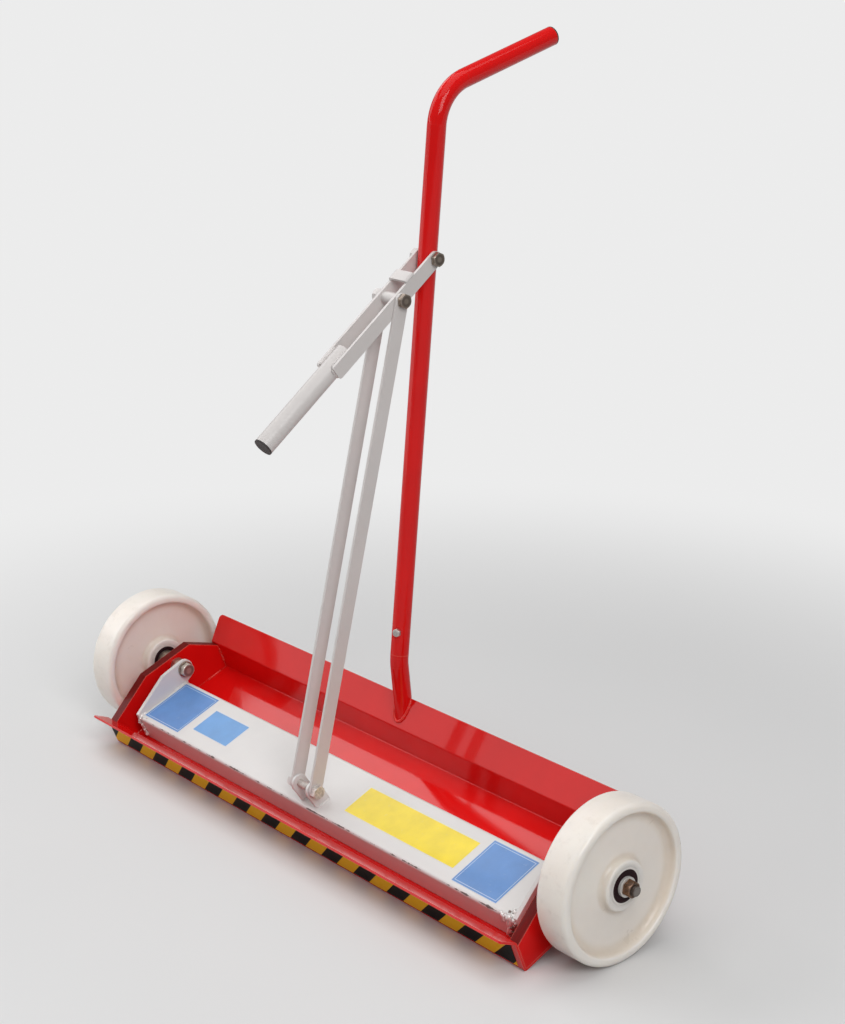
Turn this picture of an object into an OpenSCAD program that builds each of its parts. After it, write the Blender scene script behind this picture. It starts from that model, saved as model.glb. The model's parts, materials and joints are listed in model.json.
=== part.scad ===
// Walk-behind magnetic nail sweeper: a folded tray on two wheels, with a magnet bar that a hand lever
// lifts off the tray floor, so that the nails held under the tray drop.
// Each piece is drawn in a level section with the wheel axle at the origin: x to the rear, y up and
// z along the axle. The whole then leans forward until the front edge of the tray meets the ground.

/* [Wheels] */
// Diameter of each wheel
wheel_d = 200; // [180:1:240]
// Width of each wheel
wheel_w = 47; // [40:1:60]
// Radial depth of the rim band
rim_depth = 11.5; // [9.5:0.5:20]
// Thickness of the web beside the hub
web_t = 29; // [20:1:33]
// How far each face of the web falls from the hub to the rim
web_fall = 3; // [0:0.5:6]
// Diameter of the hub boss at its face
hub_d = 62; // [56:1:76]
// Draft of the recess walls, over the depth of the recess
recess_draft = 2; // [1:0.5:4]
// Radius on the edges of the tread
tread_edge_r = 6; // [3:0.5:8]
// Radius on the lip where the rim meets the recess
rim_lip_r = 3; // [1:0.5:4]
// Radius where the web meets the rim
rim_foot_r = 8; // [3:0.5:9]
// Radius where the web meets the hub boss
hub_foot_r = 6; // [3:0.5:7]
// Radius on the edge of the hub boss
hub_edge_r = 2.5; // [1:0.5:3]
// Gap between an end plate and its wheel
wheel_gap = 15; // [8:1:30]

/* [Bearings] */
// Outside diameter of a wheel bearing
bearing_d = 47; // [44:1:50]
// Width of a wheel bearing
bearing_w = 12; // [8:1:15]
// Diameter where the inner ring meets the shield
race_d = 32; // [30:1:36]
// Diameter of the passage through the hub between the bearings
hub_bore_d = 38; // [34:1:42]

/* [Tray] */
// Length of the tray along the axle
tray_l = 860; // [500:10:1200]
// Depth of the tray floor from wall to wall
floor_d = 199.5; // [185:0.5:230]
// Height of the axle above the tray floor
axle_h = 55.6; // [50:0.1:65]
// Distance of the axle behind the front wall
axle_back = 125.5; // [115:0.5:140]
// Thickness of the tray sheet
sheet_t = 3; // [2:0.5:4]
// Inside radius of the folds
bend_r = 1.5; // [1:0.5:3]
// Height of the walls from the floor to the fold
wall_h = 43; // [42:0.5:48]
// Length of the front flange
front_flange = 28; // [15:1:40]
// Length of the rear flange
rear_flange = 44; // [30:1:60]
// Slope of both flanges
flange_angle = 45; // [35:1:60]
// Radius on the corners of the front flange
front_corner_r = 3; // [1:0.5:10]
// Radius on the corners of the rear flange
rear_corner_r = 8; // [2:0.5:20]

/* [End plates] */
// Thickness of an end plate
plate_t = 15; // [8:1:20]
// Height of the top edge above the axle
plate_top = 17; // [14:1:30]
// Front end of the top edge, ahead of the axle
plate_flat_front = 53; // [35:1:70]
// Rear end of the top edge, behind the axle
plate_flat_rear = 31; // [20:1:45]
// Height of the front edge above the floor
plate_front_h = 37.5; // [25:0.5:42]
// Height of the rear edge above the floor
plate_rear_h = 40.5; // [30:0.5:41.5]

/* [Magnet bar] */
// Depth of the magnet housing, front to rear
box_d = 94; // [80:1:105]
// Height of the magnet housing
box_h = 34.5; // [28:0.5:36]
// Thickness of the housing sheet
box_t = 3; // [2:0.5:4]
// Distance of the rear face ahead of the axle
box_ahead = 3; // [2:0.5:10]
// Thickness of the plate that closes the underside
base_t = 2; // [1:0.5:3]
// Thickness of the steel yoke above the magnets
yoke_t = 6; // [3:0.5:8]
// Length of one magnet block along the bar
magnet_l = 84; // [50:1:120]
// Space between two magnet blocks
magnet_space = 4; // [1:0.5:10]
// Thickness of an ear plate
ear_t = 6; // [4:0.5:8]
// Gap between an ear plate and an end plate
ear_gap = 14; // [8:1:25]
// Radius of the ear round its pivot
ear_r = 14; // [13:0.5:18]
// Place of the knee in the ear's top edge, ahead of the axle
ear_knee = 37; // [25:1:50]
// Drop of the ear's top edge from the pivot to the knee
ear_drop = 2; // [1:0.5:5]
// Height of the ear's front corner above the housing
ear_front_h = 4; // [2:0.5:10]
// Distance of the lift bolt ahead of the axle
lift_ahead = 84; // [75:0.5:88]
// Height of the lift bolt above the housing
lift_h = 27.2; // [24:0.1:34]
// Radius of a lift lug round its bolt
lug_r = 12; // [11.5:0.5:16]
// Distance of the foot of a lift lug behind the front of the housing
lug_back = 7; // [5:0.5:12]
// Length of the foot of a lift lug
lug_foot = 24; // [20:1:40]

/* [Mast and handle] */
// Diameter of the mast tube
mast_d = 25; // [22:0.5:32]
// Wall of the mast tube
mast_wall = 2.5; // [1.5:0.25:3.5]
// Place of the mast's foot on the rear flange, up from the fold
foot_up = 34; // [26:0.5:38]
// Slope of the stub where it leaves the flange
stub_angle = 75; // [70:1:80]
// Length of the stub below its bend
stub_l = 63.6; // [50:0.1:80]
// Centre line radius of the bend in the stub
stub_bend_r = 80; // [40:1:100]
// Slope of the mast above the bend
mast_angle = 63.4; // [58:0.1:68]
// Length of the mast from the bend in the stub to the bend at the handle
mast_l = 750; // [680:1:850]
// Height of the seam between stub and mast, up from the end of the stub's bend
seam_up = 2; // [1:0.5:20]
// Height of the clamp bolt above the seam
clamp_up = 33; // [20:1:60]
// Turn of the clamp bolt about the mast, away from the front
clamp_turn = 25; // [0:1:90]
// Height of the top of the spigot above the seam
spigot_up = 75; // [70:1:120]
// Length of the spigot below the stub's bend
spigot_down = 12; // [5:1:18]
// Centre line radius of the bend at the handle
handle_bend_r = 65; // [45:1:80]
// Fall of the handle towards its end
handle_fall = 4.6; // [0:0.1:12]
// Length of the handle from its bend
handle_l = 204; // [150:1:280]
// Thickness of the head of a tube plug
plug_t = 2; // [1:0.5:5]
// Depth of a tube plug inside its tube
plug_depth = 18; // [10:1:30]

/* [Lever and links] */
// Height of the lever pivot on the mast, up from the bend
pivot_up = 541; // [480:1:580]
// Fall of the lever towards its grip
lever_fall = 16; // [8:0.5:24]
// Width of a lever bar
bar_w = 20; // [18:0.5:30]
// Thickness of a lever bar
bar_t = 4; // [3:0.5:8]
// Length of a lever bar from the pivot to its end
bar_l = 206; // [190:1:240]
// Radius on the far corners of a lever bar
bar_corner_r = 4; // [1:0.5:8]
// Distance from the lever pivot to the link bolt
link_arm = 75; // [72:1:85]
// Distance from the lever pivot to the near edge of the bridge
bridge_from = 38.5; // [28:0.5:42]
// Length of the bridge along the lever
bridge_l = 16; // [12:1:20]
// Thickness of the bridge
bridge_t = 4; // [3:0.5:6]
// Distance from the lever pivot to the start of the grip tube
grip_from = 171; // [150:1:180]
// Distance from the lever pivot to the end of the grip tube
grip_to = 334; // [300:1:400]
// Wall of the grip tube
grip_wall = 2.5; // [1.5:0.25:3.5]
// How much thinner the grip tube is turned where it sits between the bars
grip_neck = 0.4; // [0.2:0.1:1]
// Diameter of the spacer between the lever bars
spacer_d = 16; // [14:0.5:24]
// Width of a link
link_w = 20; // [18:0.5:26]
// Thickness of a link
link_t = 4; // [3:0.5:8]

/* [Fasteners] */
// Diameter of an axle bolt
axle_bolt_d = 12; // [10:0.5:14]
// Width across flats of an axle bolt and its nut
axle_af = 19; // [17:0.5:20]
// Height of an axle bolt's head
axle_head_h = 7.5; // [5:0.5:9]
// Height of an axle nut
axle_nut_h = 10; // [6:0.5:12]
// Length of the bolt past its nut
axle_tip = 4; // [1:0.5:8]
// Diameter of the washer under an axle bolt's head
washer_d = 24; // [22:0.5:26]
// Thickness of that washer
washer_t = 2.5; // [1:0.5:4]
// Diameter of the bush that an ear turns on
bush_d = 16; // [15.5:0.5:18]
// Diameter of the bush's shoulder
bush_shoulder_d = 24; // [20:0.5:28]
// Diameter of the sleeve through the wheel
sleeve_d = 25; // [22:0.5:26]
// Length of the sleeve past the wheel
sleeve_over = 4; // [2:0.5:10]
// Diameter of the spacer between end plate and bearing
wheel_spacer_d = 30; // [28:0.5:32]
// Diameter of the lever and link bolts
link_bolt_d = 10; // [8:0.5:11]
// Width across flats of those bolts and nuts
link_af = 17; // [15:0.5:18]
// Height of the heads of those bolts
link_head_h = 6.4; // [4:0.2:8]
// Height of the nuts of those bolts
link_nut_h = 8; // [5:0.5:10]
// Length of those bolts past their nuts
link_tip = 3; // [1:0.5:6]
// Diameter of the clamp bolt
clamp_d = 6; // [5:0.5:8]
// Width across flats of the clamp bolt and its nut
clamp_af = 10; // [9:0.5:14]
// Height of the clamp bolt's head and of its nut
clamp_head_h = 4.5; // [3:0.5:6]

/* [Clearances] */
// Radial clearance of a shaft that turns in a hole
run_gap = 0.06; // [0.02:0.01:0.1]
// Radial clearance of a fixed bolt, sleeve or ring in its hole
fit_gap = 0.05; // [0.02:0.01:0.2]
// Gap between two faces that are welded or clamped together
seat_gap = 0.1; // [0.05:0.05:0.2]
// Gap between two faces that slide past each other
side_gap = 0.4; // [0.3:0.1:0.8]
// Gap under the magnet bar when it is down
rest_gap = 0.4; // [0.3:0.1:0.8]
// Radial play of the upper link bolt in the links, which lets the linkage turn freely
link_play = 1.4; // [1.4:0.1:1.8]

/* [Hidden] */

// Finishes
red_paint = [0.82, 0.05, 0.04];
white_paint = [0.90, 0.89, 0.87];
nylon = [0.93, 0.91, 0.87];
zinc = [0.62, 0.56, 0.47];
dark_steel = [0.16, 0.13, 0.13];
ferrite = [0.22, 0.22, 0.24];
black_plastic = [0.08, 0.08, 0.08];

// Steps in a full round, and in the arc of a rounded corner
round_steps = 64;
corner_steps = 5;
// Share of a hex head's height that its chamfer takes
hex_chamfer = 0.22;
// Largest shares of a recess wall that the radii at its edge and at its foot take
wall_edge = 0.3;
wall_foot = 0.7;
// Share of the bridge's thickness that its rounded edges take
bridge_round = 0.9;
// Small radius on the corners of cut plates
plate_corner_r = 1.5;
// Amount by which each face of a tube's wall is drawn in at a bend, and lap of a straight run on a bend
bend_draw = 0.1;
bend_lap = 2;
// Length that is safely longer than the part, for cuts
beyond = 2000;

// Places along the axle, from the middle outwards
plate_out = tray_l / 2;
plate_in = plate_out - plate_t;
ear_out = plate_in - ear_gap;
ear_in = ear_out - ear_t;
wheel_in = plate_out + wheel_gap;
wheel_out = wheel_in + wheel_w;
sleeve_out = wheel_out + sleeve_over;
bar_in = mast_d / 2 + side_gap;
bar_out = bar_in + bar_t;
link_in = bar_out + side_gap;
link_out = link_in + link_t;

// Tray section
front_x = -axle_back;
rear_x = floor_d - axle_back;
floor_y = -axle_h;
fold_y = floor_y + wall_h;
flange_way = [cos(flange_angle), sin(flange_angle)];
front_tip = [front_x - front_flange * flange_way.x, fold_y + front_flange * flange_way.y];
rear_tip = [rear_x + rear_flange * flange_way.x, fold_y + rear_flange * flange_way.y];
tray_path = [front_tip, [front_x, fold_y], [front_x, floor_y], [rear_x, floor_y], [rear_x, fold_y],
    rear_tip];

// Magnet housing section
box_front = -box_ahead - box_d;
box_rear = -box_ahead;
box_low = floor_y + rest_gap;
box_top = box_low + box_h;
magnet_low = box_low + base_t + seat_gap;
magnet_top = box_top - box_t - 2 * seat_gap - yoke_t;
magnet_front = box_front + box_t + bend_r;
magnet_rear = box_rear - box_t - bend_r;
magnet_row = 2 * ear_in - 2 * magnet_space;
magnet_count = floor((magnet_row + magnet_space) / (magnet_l + magnet_space));
lift_at = [-lift_ahead, box_top + lift_h];

// Mast and handle
stub_way = [cos(stub_angle), sin(stub_angle)];
mast_way = [cos(mast_angle), sin(mast_angle)];
handle_way = [cos(handle_fall), -sin(handle_fall)];
foot_at = [rear_x, fold_y] + foot_up * flange_way;
stub_corner = foot_at + stub_l * stub_way;
stub_turn = stub_angle - mast_angle;
stub_tangent = stub_bend_r * tan(stub_turn / 2);
seam_at = stub_corner + (stub_tangent + seam_up) * mast_way;
handle_corner = stub_corner + mast_l * mast_way;
handle_turn = mast_angle + handle_fall;
handle_tangent = handle_bend_r * tan(handle_turn / 2);
handle_end = handle_corner + handle_l * handle_way;
mast_bore = mast_d - 2 * mast_wall;

// Lever and links
pivot_at = stub_corner + pivot_up * mast_way;
lever_turn = 180 + lever_fall;
lever_way = [cos(lever_turn), sin(lever_turn)];
link_at = pivot_at + link_arm * lever_way;
link_way = link_at - lift_at;
link_l = norm(link_way);
link_turn = atan2(link_way.y, link_way.x);
grip_d = 2 * (bar_in - seat_gap);
grip_end = pivot_at + (grip_to + plug_t) * lever_way;

// Lean at rest: the rounded front corner of the tray comes down to the ground with the wheels
corner_out_r = bend_r + sheet_t;
corner_at = [front_x - sheet_t + corner_out_r, floor_y - sheet_t + corner_out_r];
rest_lean = asin((wheel_d / 2 - corner_out_r) / norm(corner_at)) - atan2(-corner_at.y, -corner_at.x);

// Reach to the front and to the rear at rest, which sets the middle of the part over the origin
function rest_y(p) = p.x * cos(rest_lean) - p.y * sin(rest_lean);
flange_under = sheet_t * [-flange_way.y, -flange_way.x];
grip_reach = rest_y(grip_end) - grip_d / 2 * abs(sin(lever_fall + rest_lean));
flange_reach = min(rest_y(front_tip), rest_y(front_tip + flange_under));
front_reach = min(grip_reach, flange_reach);
rear_reach = rest_y(handle_end + plug_t * handle_way) + mast_d / 2 * abs(sin(rest_lean - handle_fall));
middle_shift = -(front_reach + rear_reach) / 2;

// Outline helpers
function unit(v) = v / norm(v);
function corner_arc(a, b, c, r) =
    let (
        u = unit(a - b),
        v = unit(c - b),
        half = acos(u * v) / 2,
        centre = b + unit(u + v) * r / sin(half),
        from = b + u * r / tan(half) - centre,
        to = b + v * r / tan(half) - centre,
        start = atan2(from.y, from.x),
        sweep = atan2(cross(from, to), from * to)
    )
    r <= 0 ? [b] : [for (i = [0:corner_steps])
        centre + r * [cos(start + sweep * i / corner_steps), sin(start + sweep * i / corner_steps)]];
function rounded(points, radii) =
    let (n = len(points))
    [for (i = [0:n - 1])
        each corner_arc(points[(i + n - 1) % n], points[i], points[(i + 1) % n], radii[i])];

// Outline of a folded sheet: path is its left face, and the sheet lies to the right of the way along it
function right_of(a, b) = unit([b.y - a.y, a.x - b.x]);
function turns_left(path, i) = cross(path[i] - path[i - 1], path[i + 1] - path[i]) > 0;
function right_corner(path, i, t) =
    let (
        n1 = right_of(path[i - 1], path[i]),
        n2 = right_of(path[i], path[i + 1])
    )
    path[i] + t * (n1 + n2) / (1 + n1 * n2);
function sheet_outline(path, t, r) =
    let (
        last = len(path) - 1,
        start_face = path[0] + t * right_of(path[0], path[1]),
        end_face = path[last] + t * right_of(path[last - 1], path[last]),
        right = concat([start_face], [for (i = [1:last - 1]) right_corner(path, i, t)], [end_face]),
        left_r = [for (i = [1:last - 1]) turns_left(path, i) ? r : r + t],
        right_r = [for (i = [1:last - 1]) turns_left(path, i) ? r + t : r]
    )
    concat(
        [path[0]],
        [for (i = [1:last - 1]) each corner_arc(path[i - 1], path[i], path[i + 1], left_r[i - 1])],
        [path[last], end_face],
        [for (i = [last - 1:-1:1]) each corner_arc(right[i + 1], right[i], right[i - 1], right_r[i - 1])],
        [start_face]);

// Placing helpers
module in_place() {
    translate([0, middle_shift, wheel_d / 2])
        rotate([rest_lean, 0, 0])
            rotate([90, 0, 90])
                children();
}

module slab(z0, z1) {
    translate([0, 0, z0])
        linear_extrude(z1 - z0)
            children();
}

module on_side(side) {
    if (side > 0) {
        children();
    } else {
        mirror([0, 0, 1])
            children();
    }
}

module both_sides() {
    for (side = [-1, 1])
        on_side(side)
            children();
}

module along_lever() {
    translate([pivot_at.x, pivot_at.y, 0])
        rotate([0, 0, lever_turn])
            children();
}

module along_link() {
    translate([lift_at.x, lift_at.y, 0])
        rotate([0, 0, link_turn])
            children();
}

// Round helpers
module rod(d, z0, z1) {
    translate([0, 0, z0])
        cylinder(d = d, h = z1 - z0, $fn = round_steps);
}

module ring(d, bore, z0, z1) {
    difference() {
        rod(d, z0, z1);
        rod(bore, z0 - 1, z1 + 1);
    }
}

module run(p, angle, l, d) {
    translate([p.x, p.y, 0])
        rotate([0, 0, angle])
            rotate([0, 90, 0])
                cylinder(d = d, h = l, $fn = round_steps);
}

module tube_run(p, angle, l, d, bore) {
    translate([p.x, p.y, 0])
        rotate([0, 0, angle])
            rotate([0, 90, 0])
                ring(d, bore, 0, l);
}

// Bend that starts at p along the given angle and turns clockwise, with its wall drawn a little thinner
module tube_bend(p, angle, turn, r, d, bore) {
    translate([p.x + r * sin(angle), p.y - r * cos(angle), 0])
        rotate([0, 0, angle + 90 - turn])
            rotate_extrude(angle = turn, $fn = 2 * round_steps)
                translate([r, 0])
                    difference() {
                        circle(d = d - 2 * bend_draw, $fn = round_steps);
                        circle(d = bore + 2 * bend_draw, $fn = round_steps);
                    }
}

// Hex head from z = 0 upwards, with the far corners chamfered
module hex_head(af, h) {
    tip_r = af / 2 / cos(30);
    intersection() {
        cylinder(r = tip_r, h = h, $fn = 6);
        cylinder(r1 = tip_r + h * (1 - hex_chamfer), r2 = tip_r - h * hex_chamfer, h = h, $fn = round_steps);
    }
}

// Bolt with its seat at z = 0, its head above and its shank below
module bolt(d, l, af, head_h) {
    hex_head(af, head_h);
    rod(d, -l, head_h / 2);
}

module nut(d, af, h) {
    difference() {
        hex_head(af, h);
        rod(d + 2 * fit_gap, -1, h + 1);
    }
}

// Tray
module flange_corners(tip, angle, r) {
    translate([tip.x, tip.y, 0])
        rotate([0, 0, angle])
            both_sides()
                difference() {
                    translate([-r, -beyond / 2, plate_out - r])
                        cube([r + 1, beyond, r + 1]);
                    translate([-r, 0, plate_out - r])
                        rotate([90, 0, 0])
                            cylinder(r = r, h = 2 * beyond, center = true, $fn = round_steps);
                }
}

module tray() {
    color(red_paint) in_place()
        difference() {
            slab(-plate_out, plate_out)
                polygon(sheet_outline(tray_path, sheet_t, bend_r));
            flange_corners(front_tip, 180 - flange_angle, front_corner_r);
            flange_corners(rear_tip, flange_angle, rear_corner_r);
        }
}

module end_plate(side) {
    low = floor_y + seat_gap;
    front = front_x + seat_gap;
    rear = rear_x - seat_gap;
    corner = bend_r + seat_gap;
    color(red_paint) in_place() on_side(side)
        difference() {
            slab(plate_in, plate_out)
                polygon(rounded(
                    [[front, low], [rear, low], [rear, floor_y + plate_rear_h], [plate_flat_rear, plate_top],
                        [-plate_flat_front, plate_top], [front, floor_y + plate_front_h]],
                    [corner, corner, 0, plate_corner_r, plate_corner_r, 0]));
            rod(axle_bolt_d + 2 * fit_gap, plate_in - 1, plate_out + 1);
        }
}

module end_plate_left() {
    end_plate(-1);
}

module end_plate_right() {
    end_plate(1);
}

// Mast
module stub_bend(d, bore) {
    tube_bend(stub_corner - stub_tangent * stub_way, stub_angle, stub_turn, stub_bend_r, d, bore);
}

module stub_top(l, d, bore) {
    from = stub_corner + (stub_tangent - bend_lap) * mast_way;
    tube_run(from, mast_angle, l + bend_lap, d, bore);
}

module mast_stub() {
    below = 2 * mast_d;
    run_l = below + stub_l - stub_tangent + bend_lap;
    color(red_paint) in_place() {
        difference() {
            tube_run(foot_at - below * stub_way, stub_angle, run_l, mast_d, mast_bore);
            translate([rear_x, fold_y, -beyond / 2])
                rotate([0, 0, flange_angle]) {
                    translate([rear_flange + seat_gap - beyond, seat_gap - beyond, 0])
                        cube(beyond);
                    translate([-beyond / 2, -sheet_t - beyond, 0])
                        cube(beyond);
                }
        }
        stub_bend(mast_d, mast_bore);
        stub_top(seam_up, mast_d, mast_bore);
    }
}

// Inner tube, bent with the stub and standing up into the mast
module mast_spigot() {
    d = mast_bore - 2 * fit_gap;
    bore = d - 2 * mast_wall;
    from = stub_corner - (stub_tangent + spigot_down) * stub_way;
    color(red_paint) in_place() {
        tube_run(from, stub_angle, spigot_down + bend_lap, d, bore);
        stub_bend(d, bore);
        difference() {
            stub_top(seam_up + spigot_up, d, bore);
            clamp_hole();
        }
    }
}

module at_clamp() {
    at = seam_at + clamp_up * mast_way;
    translate([at.x, at.y, 0])
        rotate([0, 0, mast_angle])
            rotate([clamp_turn - 90, 0, 0])
                children();
}

module clamp_hole() {
    at_clamp()
        rod(clamp_d + 2 * fit_gap, -mast_d, mast_d);
}

module mast_tube() {
    straight_l = mast_l - stub_tangent - seam_up - seat_gap - handle_tangent + bend_lap;
    handle_start = handle_corner + (handle_tangent - bend_lap) * handle_way;
    color(red_paint) in_place() {
        difference() {
            tube_run(seam_at + seat_gap * mast_way, mast_angle, straight_l, mast_d, mast_bore);
            clamp_hole();
            translate([pivot_at.x, pivot_at.y, 0])
                rod(link_bolt_d + 2 * fit_gap, -mast_d, mast_d);
        }
        tube_bend(handle_corner - handle_tangent * mast_way, mast_angle, handle_turn, handle_bend_r,
            mast_d, mast_bore);
        tube_run(handle_start, -handle_fall, handle_l - handle_tangent + bend_lap, mast_d, mast_bore);
    }
}

// Plug with its head on the end of a tube and its stem inside
module tube_plug(p, angle, d, bore) {
    run(p, angle, plug_t, d);
    run(p - plug_depth * [cos(angle), sin(angle)], angle, plug_depth + plug_t / 2, bore - 2 * fit_gap);
}

module handle_plug() {
    color(black_plastic) in_place()
        tube_plug(handle_end + seat_gap * handle_way, -handle_fall, mast_d, mast_bore);
}

module clamp_bolt() {
    seat = mast_d / 2 + seat_gap;
    color(zinc) in_place() at_clamp()
        translate([0, 0, seat])
            bolt(clamp_d, 2 * seat + clamp_head_h + link_tip, clamp_af, clamp_head_h);
}

module clamp_nut() {
    color(zinc) in_place() at_clamp()
        translate([0, 0, -mast_d / 2 - seat_gap])
            mirror([0, 0, 1])
                nut(clamp_d, clamp_af, clamp_head_h);
}

// Axle pieces, one set on each side
module axle_bolts() {
    seat = ear_in - side_gap - washer_t - seat_gap;
    tip = sleeve_out + seat_gap + axle_nut_h + axle_tip;
    color(zinc) in_place() both_sides()
        translate([0, 0, seat])
            mirror([0, 0, 1])
                bolt(axle_bolt_d, tip - seat, axle_af, axle_head_h);
}

module axle_washers() {
    seat = ear_in - side_gap;
    color(zinc) in_place() both_sides()
        ring(washer_d, axle_bolt_d + 2 * fit_gap, seat - washer_t, seat);
}

module pivot_bushes() {
    shoulder = ear_out + side_gap;
    color(zinc) in_place() both_sides()
        difference() {
            union() {
                rod(bush_d, ear_in - side_gap + seat_gap, shoulder + 1);
                rod(bush_shoulder_d, shoulder, plate_in - seat_gap);
            }
            rod(axle_bolt_d + 2 * fit_gap, ear_in - 1, plate_in);
        }
}

module axle_sleeves() {
    color(zinc) in_place() both_sides()
        ring(sleeve_d, axle_bolt_d + 2 * fit_gap, plate_out + seat_gap, sleeve_out);
}

module wheel_spacers() {
    color(zinc) in_place() both_sides()
        ring(wheel_spacer_d, sleeve_d + 2 * fit_gap, plate_out + seat_gap, wheel_in - seat_gap);
}

module bearing_pair(d, bore) {
    ring(d, bore, wheel_in, wheel_in + bearing_w);
    ring(d, bore, wheel_out - bearing_w, wheel_out);
}

module bearing_inner_rings() {
    color(zinc) in_place() both_sides()
        bearing_pair(race_d, sleeve_d + 2 * fit_gap);
}

module axle_nuts() {
    color(zinc) in_place() both_sides()
        translate([0, 0, sleeve_out + seat_gap])
            nut(axle_bolt_d, axle_af, axle_nut_h);
}

// Wheels: half section by radius and by place along the axle
module wheel(side) {
    seat = (bearing_d + 2 * fit_gap) / 2;
    bore = hub_bore_d / 2;
    hub = hub_d / 2;
    rim = wheel_d / 2 - rim_depth;
    tread = wheel_d / 2;
    mid = (wheel_in + wheel_out) / 2;
    web_low = mid - web_t / 2;
    web_high = mid + web_t / 2;
    seat_low = wheel_in + bearing_w + seat_gap;
    seat_high = wheel_out - bearing_w - seat_gap;
    hub_wall = web_low - wheel_in;
    rim_wall = hub_wall + web_fall;
    half_section = [[bore, seat_low], [seat, seat_low], [seat, wheel_in], [hub, wheel_in],
        [hub + recess_draft, web_low], [rim - recess_draft, web_low + web_fall],
        [rim, wheel_in], [tread, wheel_in], [tread, wheel_out], [rim, wheel_out],
        [rim - recess_draft, web_high - web_fall], [hub + recess_draft, web_high],
        [hub, wheel_out], [seat, wheel_out], [seat, seat_high], [bore, seat_high]];
    face_radii = [min(hub_edge_r, wall_edge * hub_wall), min(hub_foot_r, wall_foot * hub_wall),
        min(rim_foot_r, wall_foot * rim_wall), min(rim_lip_r, wall_edge * rim_wall), tread_edge_r];
    mirrored_radii = [for (i = [4:-1:0]) face_radii[i]];
    color(nylon) in_place() on_side(side)
        rotate_extrude($fn = 2 * round_steps)
            polygon(rounded(half_section, concat([0, 0, 0], face_radii, mirrored_radii, [0, 0, 0])));
}

module wheel_left() {
    wheel(-1);
}

module wheel_right() {
    wheel(1);
}

module bearing_shells(side) {
    color(dark_steel) in_place() on_side(side)
        bearing_pair(bearing_d, race_d + 2 * run_gap);
}

module bearing_shells_left() {
    bearing_shells(-1);
}

module bearing_shells_right() {
    bearing_shells(1);
}

// Magnet bar
module magnet_housing() {
    path = [[box_front, box_low], [box_front, box_top], [box_rear, box_top], [box_rear, box_low]];
    end = ear_in - seat_gap;
    color(white_paint) in_place()
        slab(-end, end)
            polygon(sheet_outline(path, box_t, bend_r));
}

module base_plate() {
    gap = box_t + seat_gap;
    end = ear_in - seat_gap;
    color(zinc) in_place()
        translate([box_front + gap, box_low, -end])
            cube([box_d - 2 * gap, base_t, 2 * end]);
}

module magnet_blocks() {
    pitch = magnet_l + magnet_space;
    first = -(magnet_count * pitch - magnet_space) / 2;
    color(ferrite) in_place()
        for (i = [0:magnet_count - 1])
            translate([magnet_front, magnet_low, first + i * pitch])
                cube([magnet_rear - magnet_front, magnet_top - magnet_low, magnet_l]);
}

module yoke_plate() {
    end = ear_in - magnet_space;
    color(dark_steel) in_place()
        translate([magnet_front, magnet_top + seat_gap, -end])
            cube([magnet_rear - magnet_front, yoke_t, 2 * end]);
}

module ear_outline() {
    circle(r = ear_r, $fn = round_steps);
    polygon(rounded(
        [[box_front, box_low], [box_rear, box_low], [box_rear, box_top], [ear_r, -ear_r], [ear_r, 0],
            [0, ear_r], [-ear_knee, ear_r - ear_drop], [box_front, box_top + ear_front_h]],
        [plate_corner_r, plate_corner_r, 0, ear_r / 2, 0, 0, plate_corner_r, plate_corner_r]));
}

module ear_plate(side) {
    color(white_paint) in_place() on_side(side)
        difference() {
            slab(ear_in, ear_out)
                ear_outline();
            rod(bush_d + 2 * run_gap, ear_in - 1, ear_out + 1);
        }
}

module ear_plate_left() {
    ear_plate(-1);
}

module ear_plate_right() {
    ear_plate(1);
}

module lift_lug(side) {
    foot_y = box_top + seat_gap;
    foot_front = box_front + lug_back;
    color(white_paint) in_place() on_side(side)
        difference() {
            slab(bar_in, bar_out)
                union() {
                    translate(lift_at)
                        circle(r = lug_r, $fn = round_steps);
                    polygon([[foot_front, foot_y], [foot_front + lug_foot, foot_y],
                        [lift_at.x + lug_r, lift_at.y], [lift_at.x - lug_r, lift_at.y]]);
                }
            translate([lift_at.x, lift_at.y, 0])
                rod(link_bolt_d + 2 * fit_gap, bar_in - 1, bar_out + 1);
        }
}

module lift_lug_left() {
    lift_lug(-1);
}

module lift_lug_right() {
    lift_lug(1);
}

// Cross bolt through lever, links or lugs, with its head to the right and its nut to the left
module cross_bolt(seat) {
    translate([0, 0, seat])
        bolt(link_bolt_d, 2 * seat + link_nut_h + link_tip, link_af, link_head_h);
}

module cross_nut(seat) {
    translate([0, 0, -seat])
        mirror([0, 0, 1])
            nut(link_bolt_d, link_af, link_nut_h);
}

module lift_bolt() {
    color(zinc) in_place() along_link()
        cross_bolt(link_out + side_gap);
}

module lift_nut() {
    color(zinc) in_place() along_link()
        cross_nut(link_out + side_gap);
}

module lever_pivot_bolt() {
    color(zinc) in_place() along_lever()
        cross_bolt(bar_out + side_gap);
}

module lever_pivot_nut() {
    color(zinc) in_place() along_lever()
        cross_nut(bar_out + side_gap);
}

module link_bolt() {
    color(zinc) in_place() along_lever()
        translate([link_arm, 0, 0])
            cross_bolt(link_out + side_gap);
}

module link_nut() {
    color(zinc) in_place() along_lever()
        translate([link_arm, 0, 0])
            cross_nut(link_out + side_gap);
}

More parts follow.
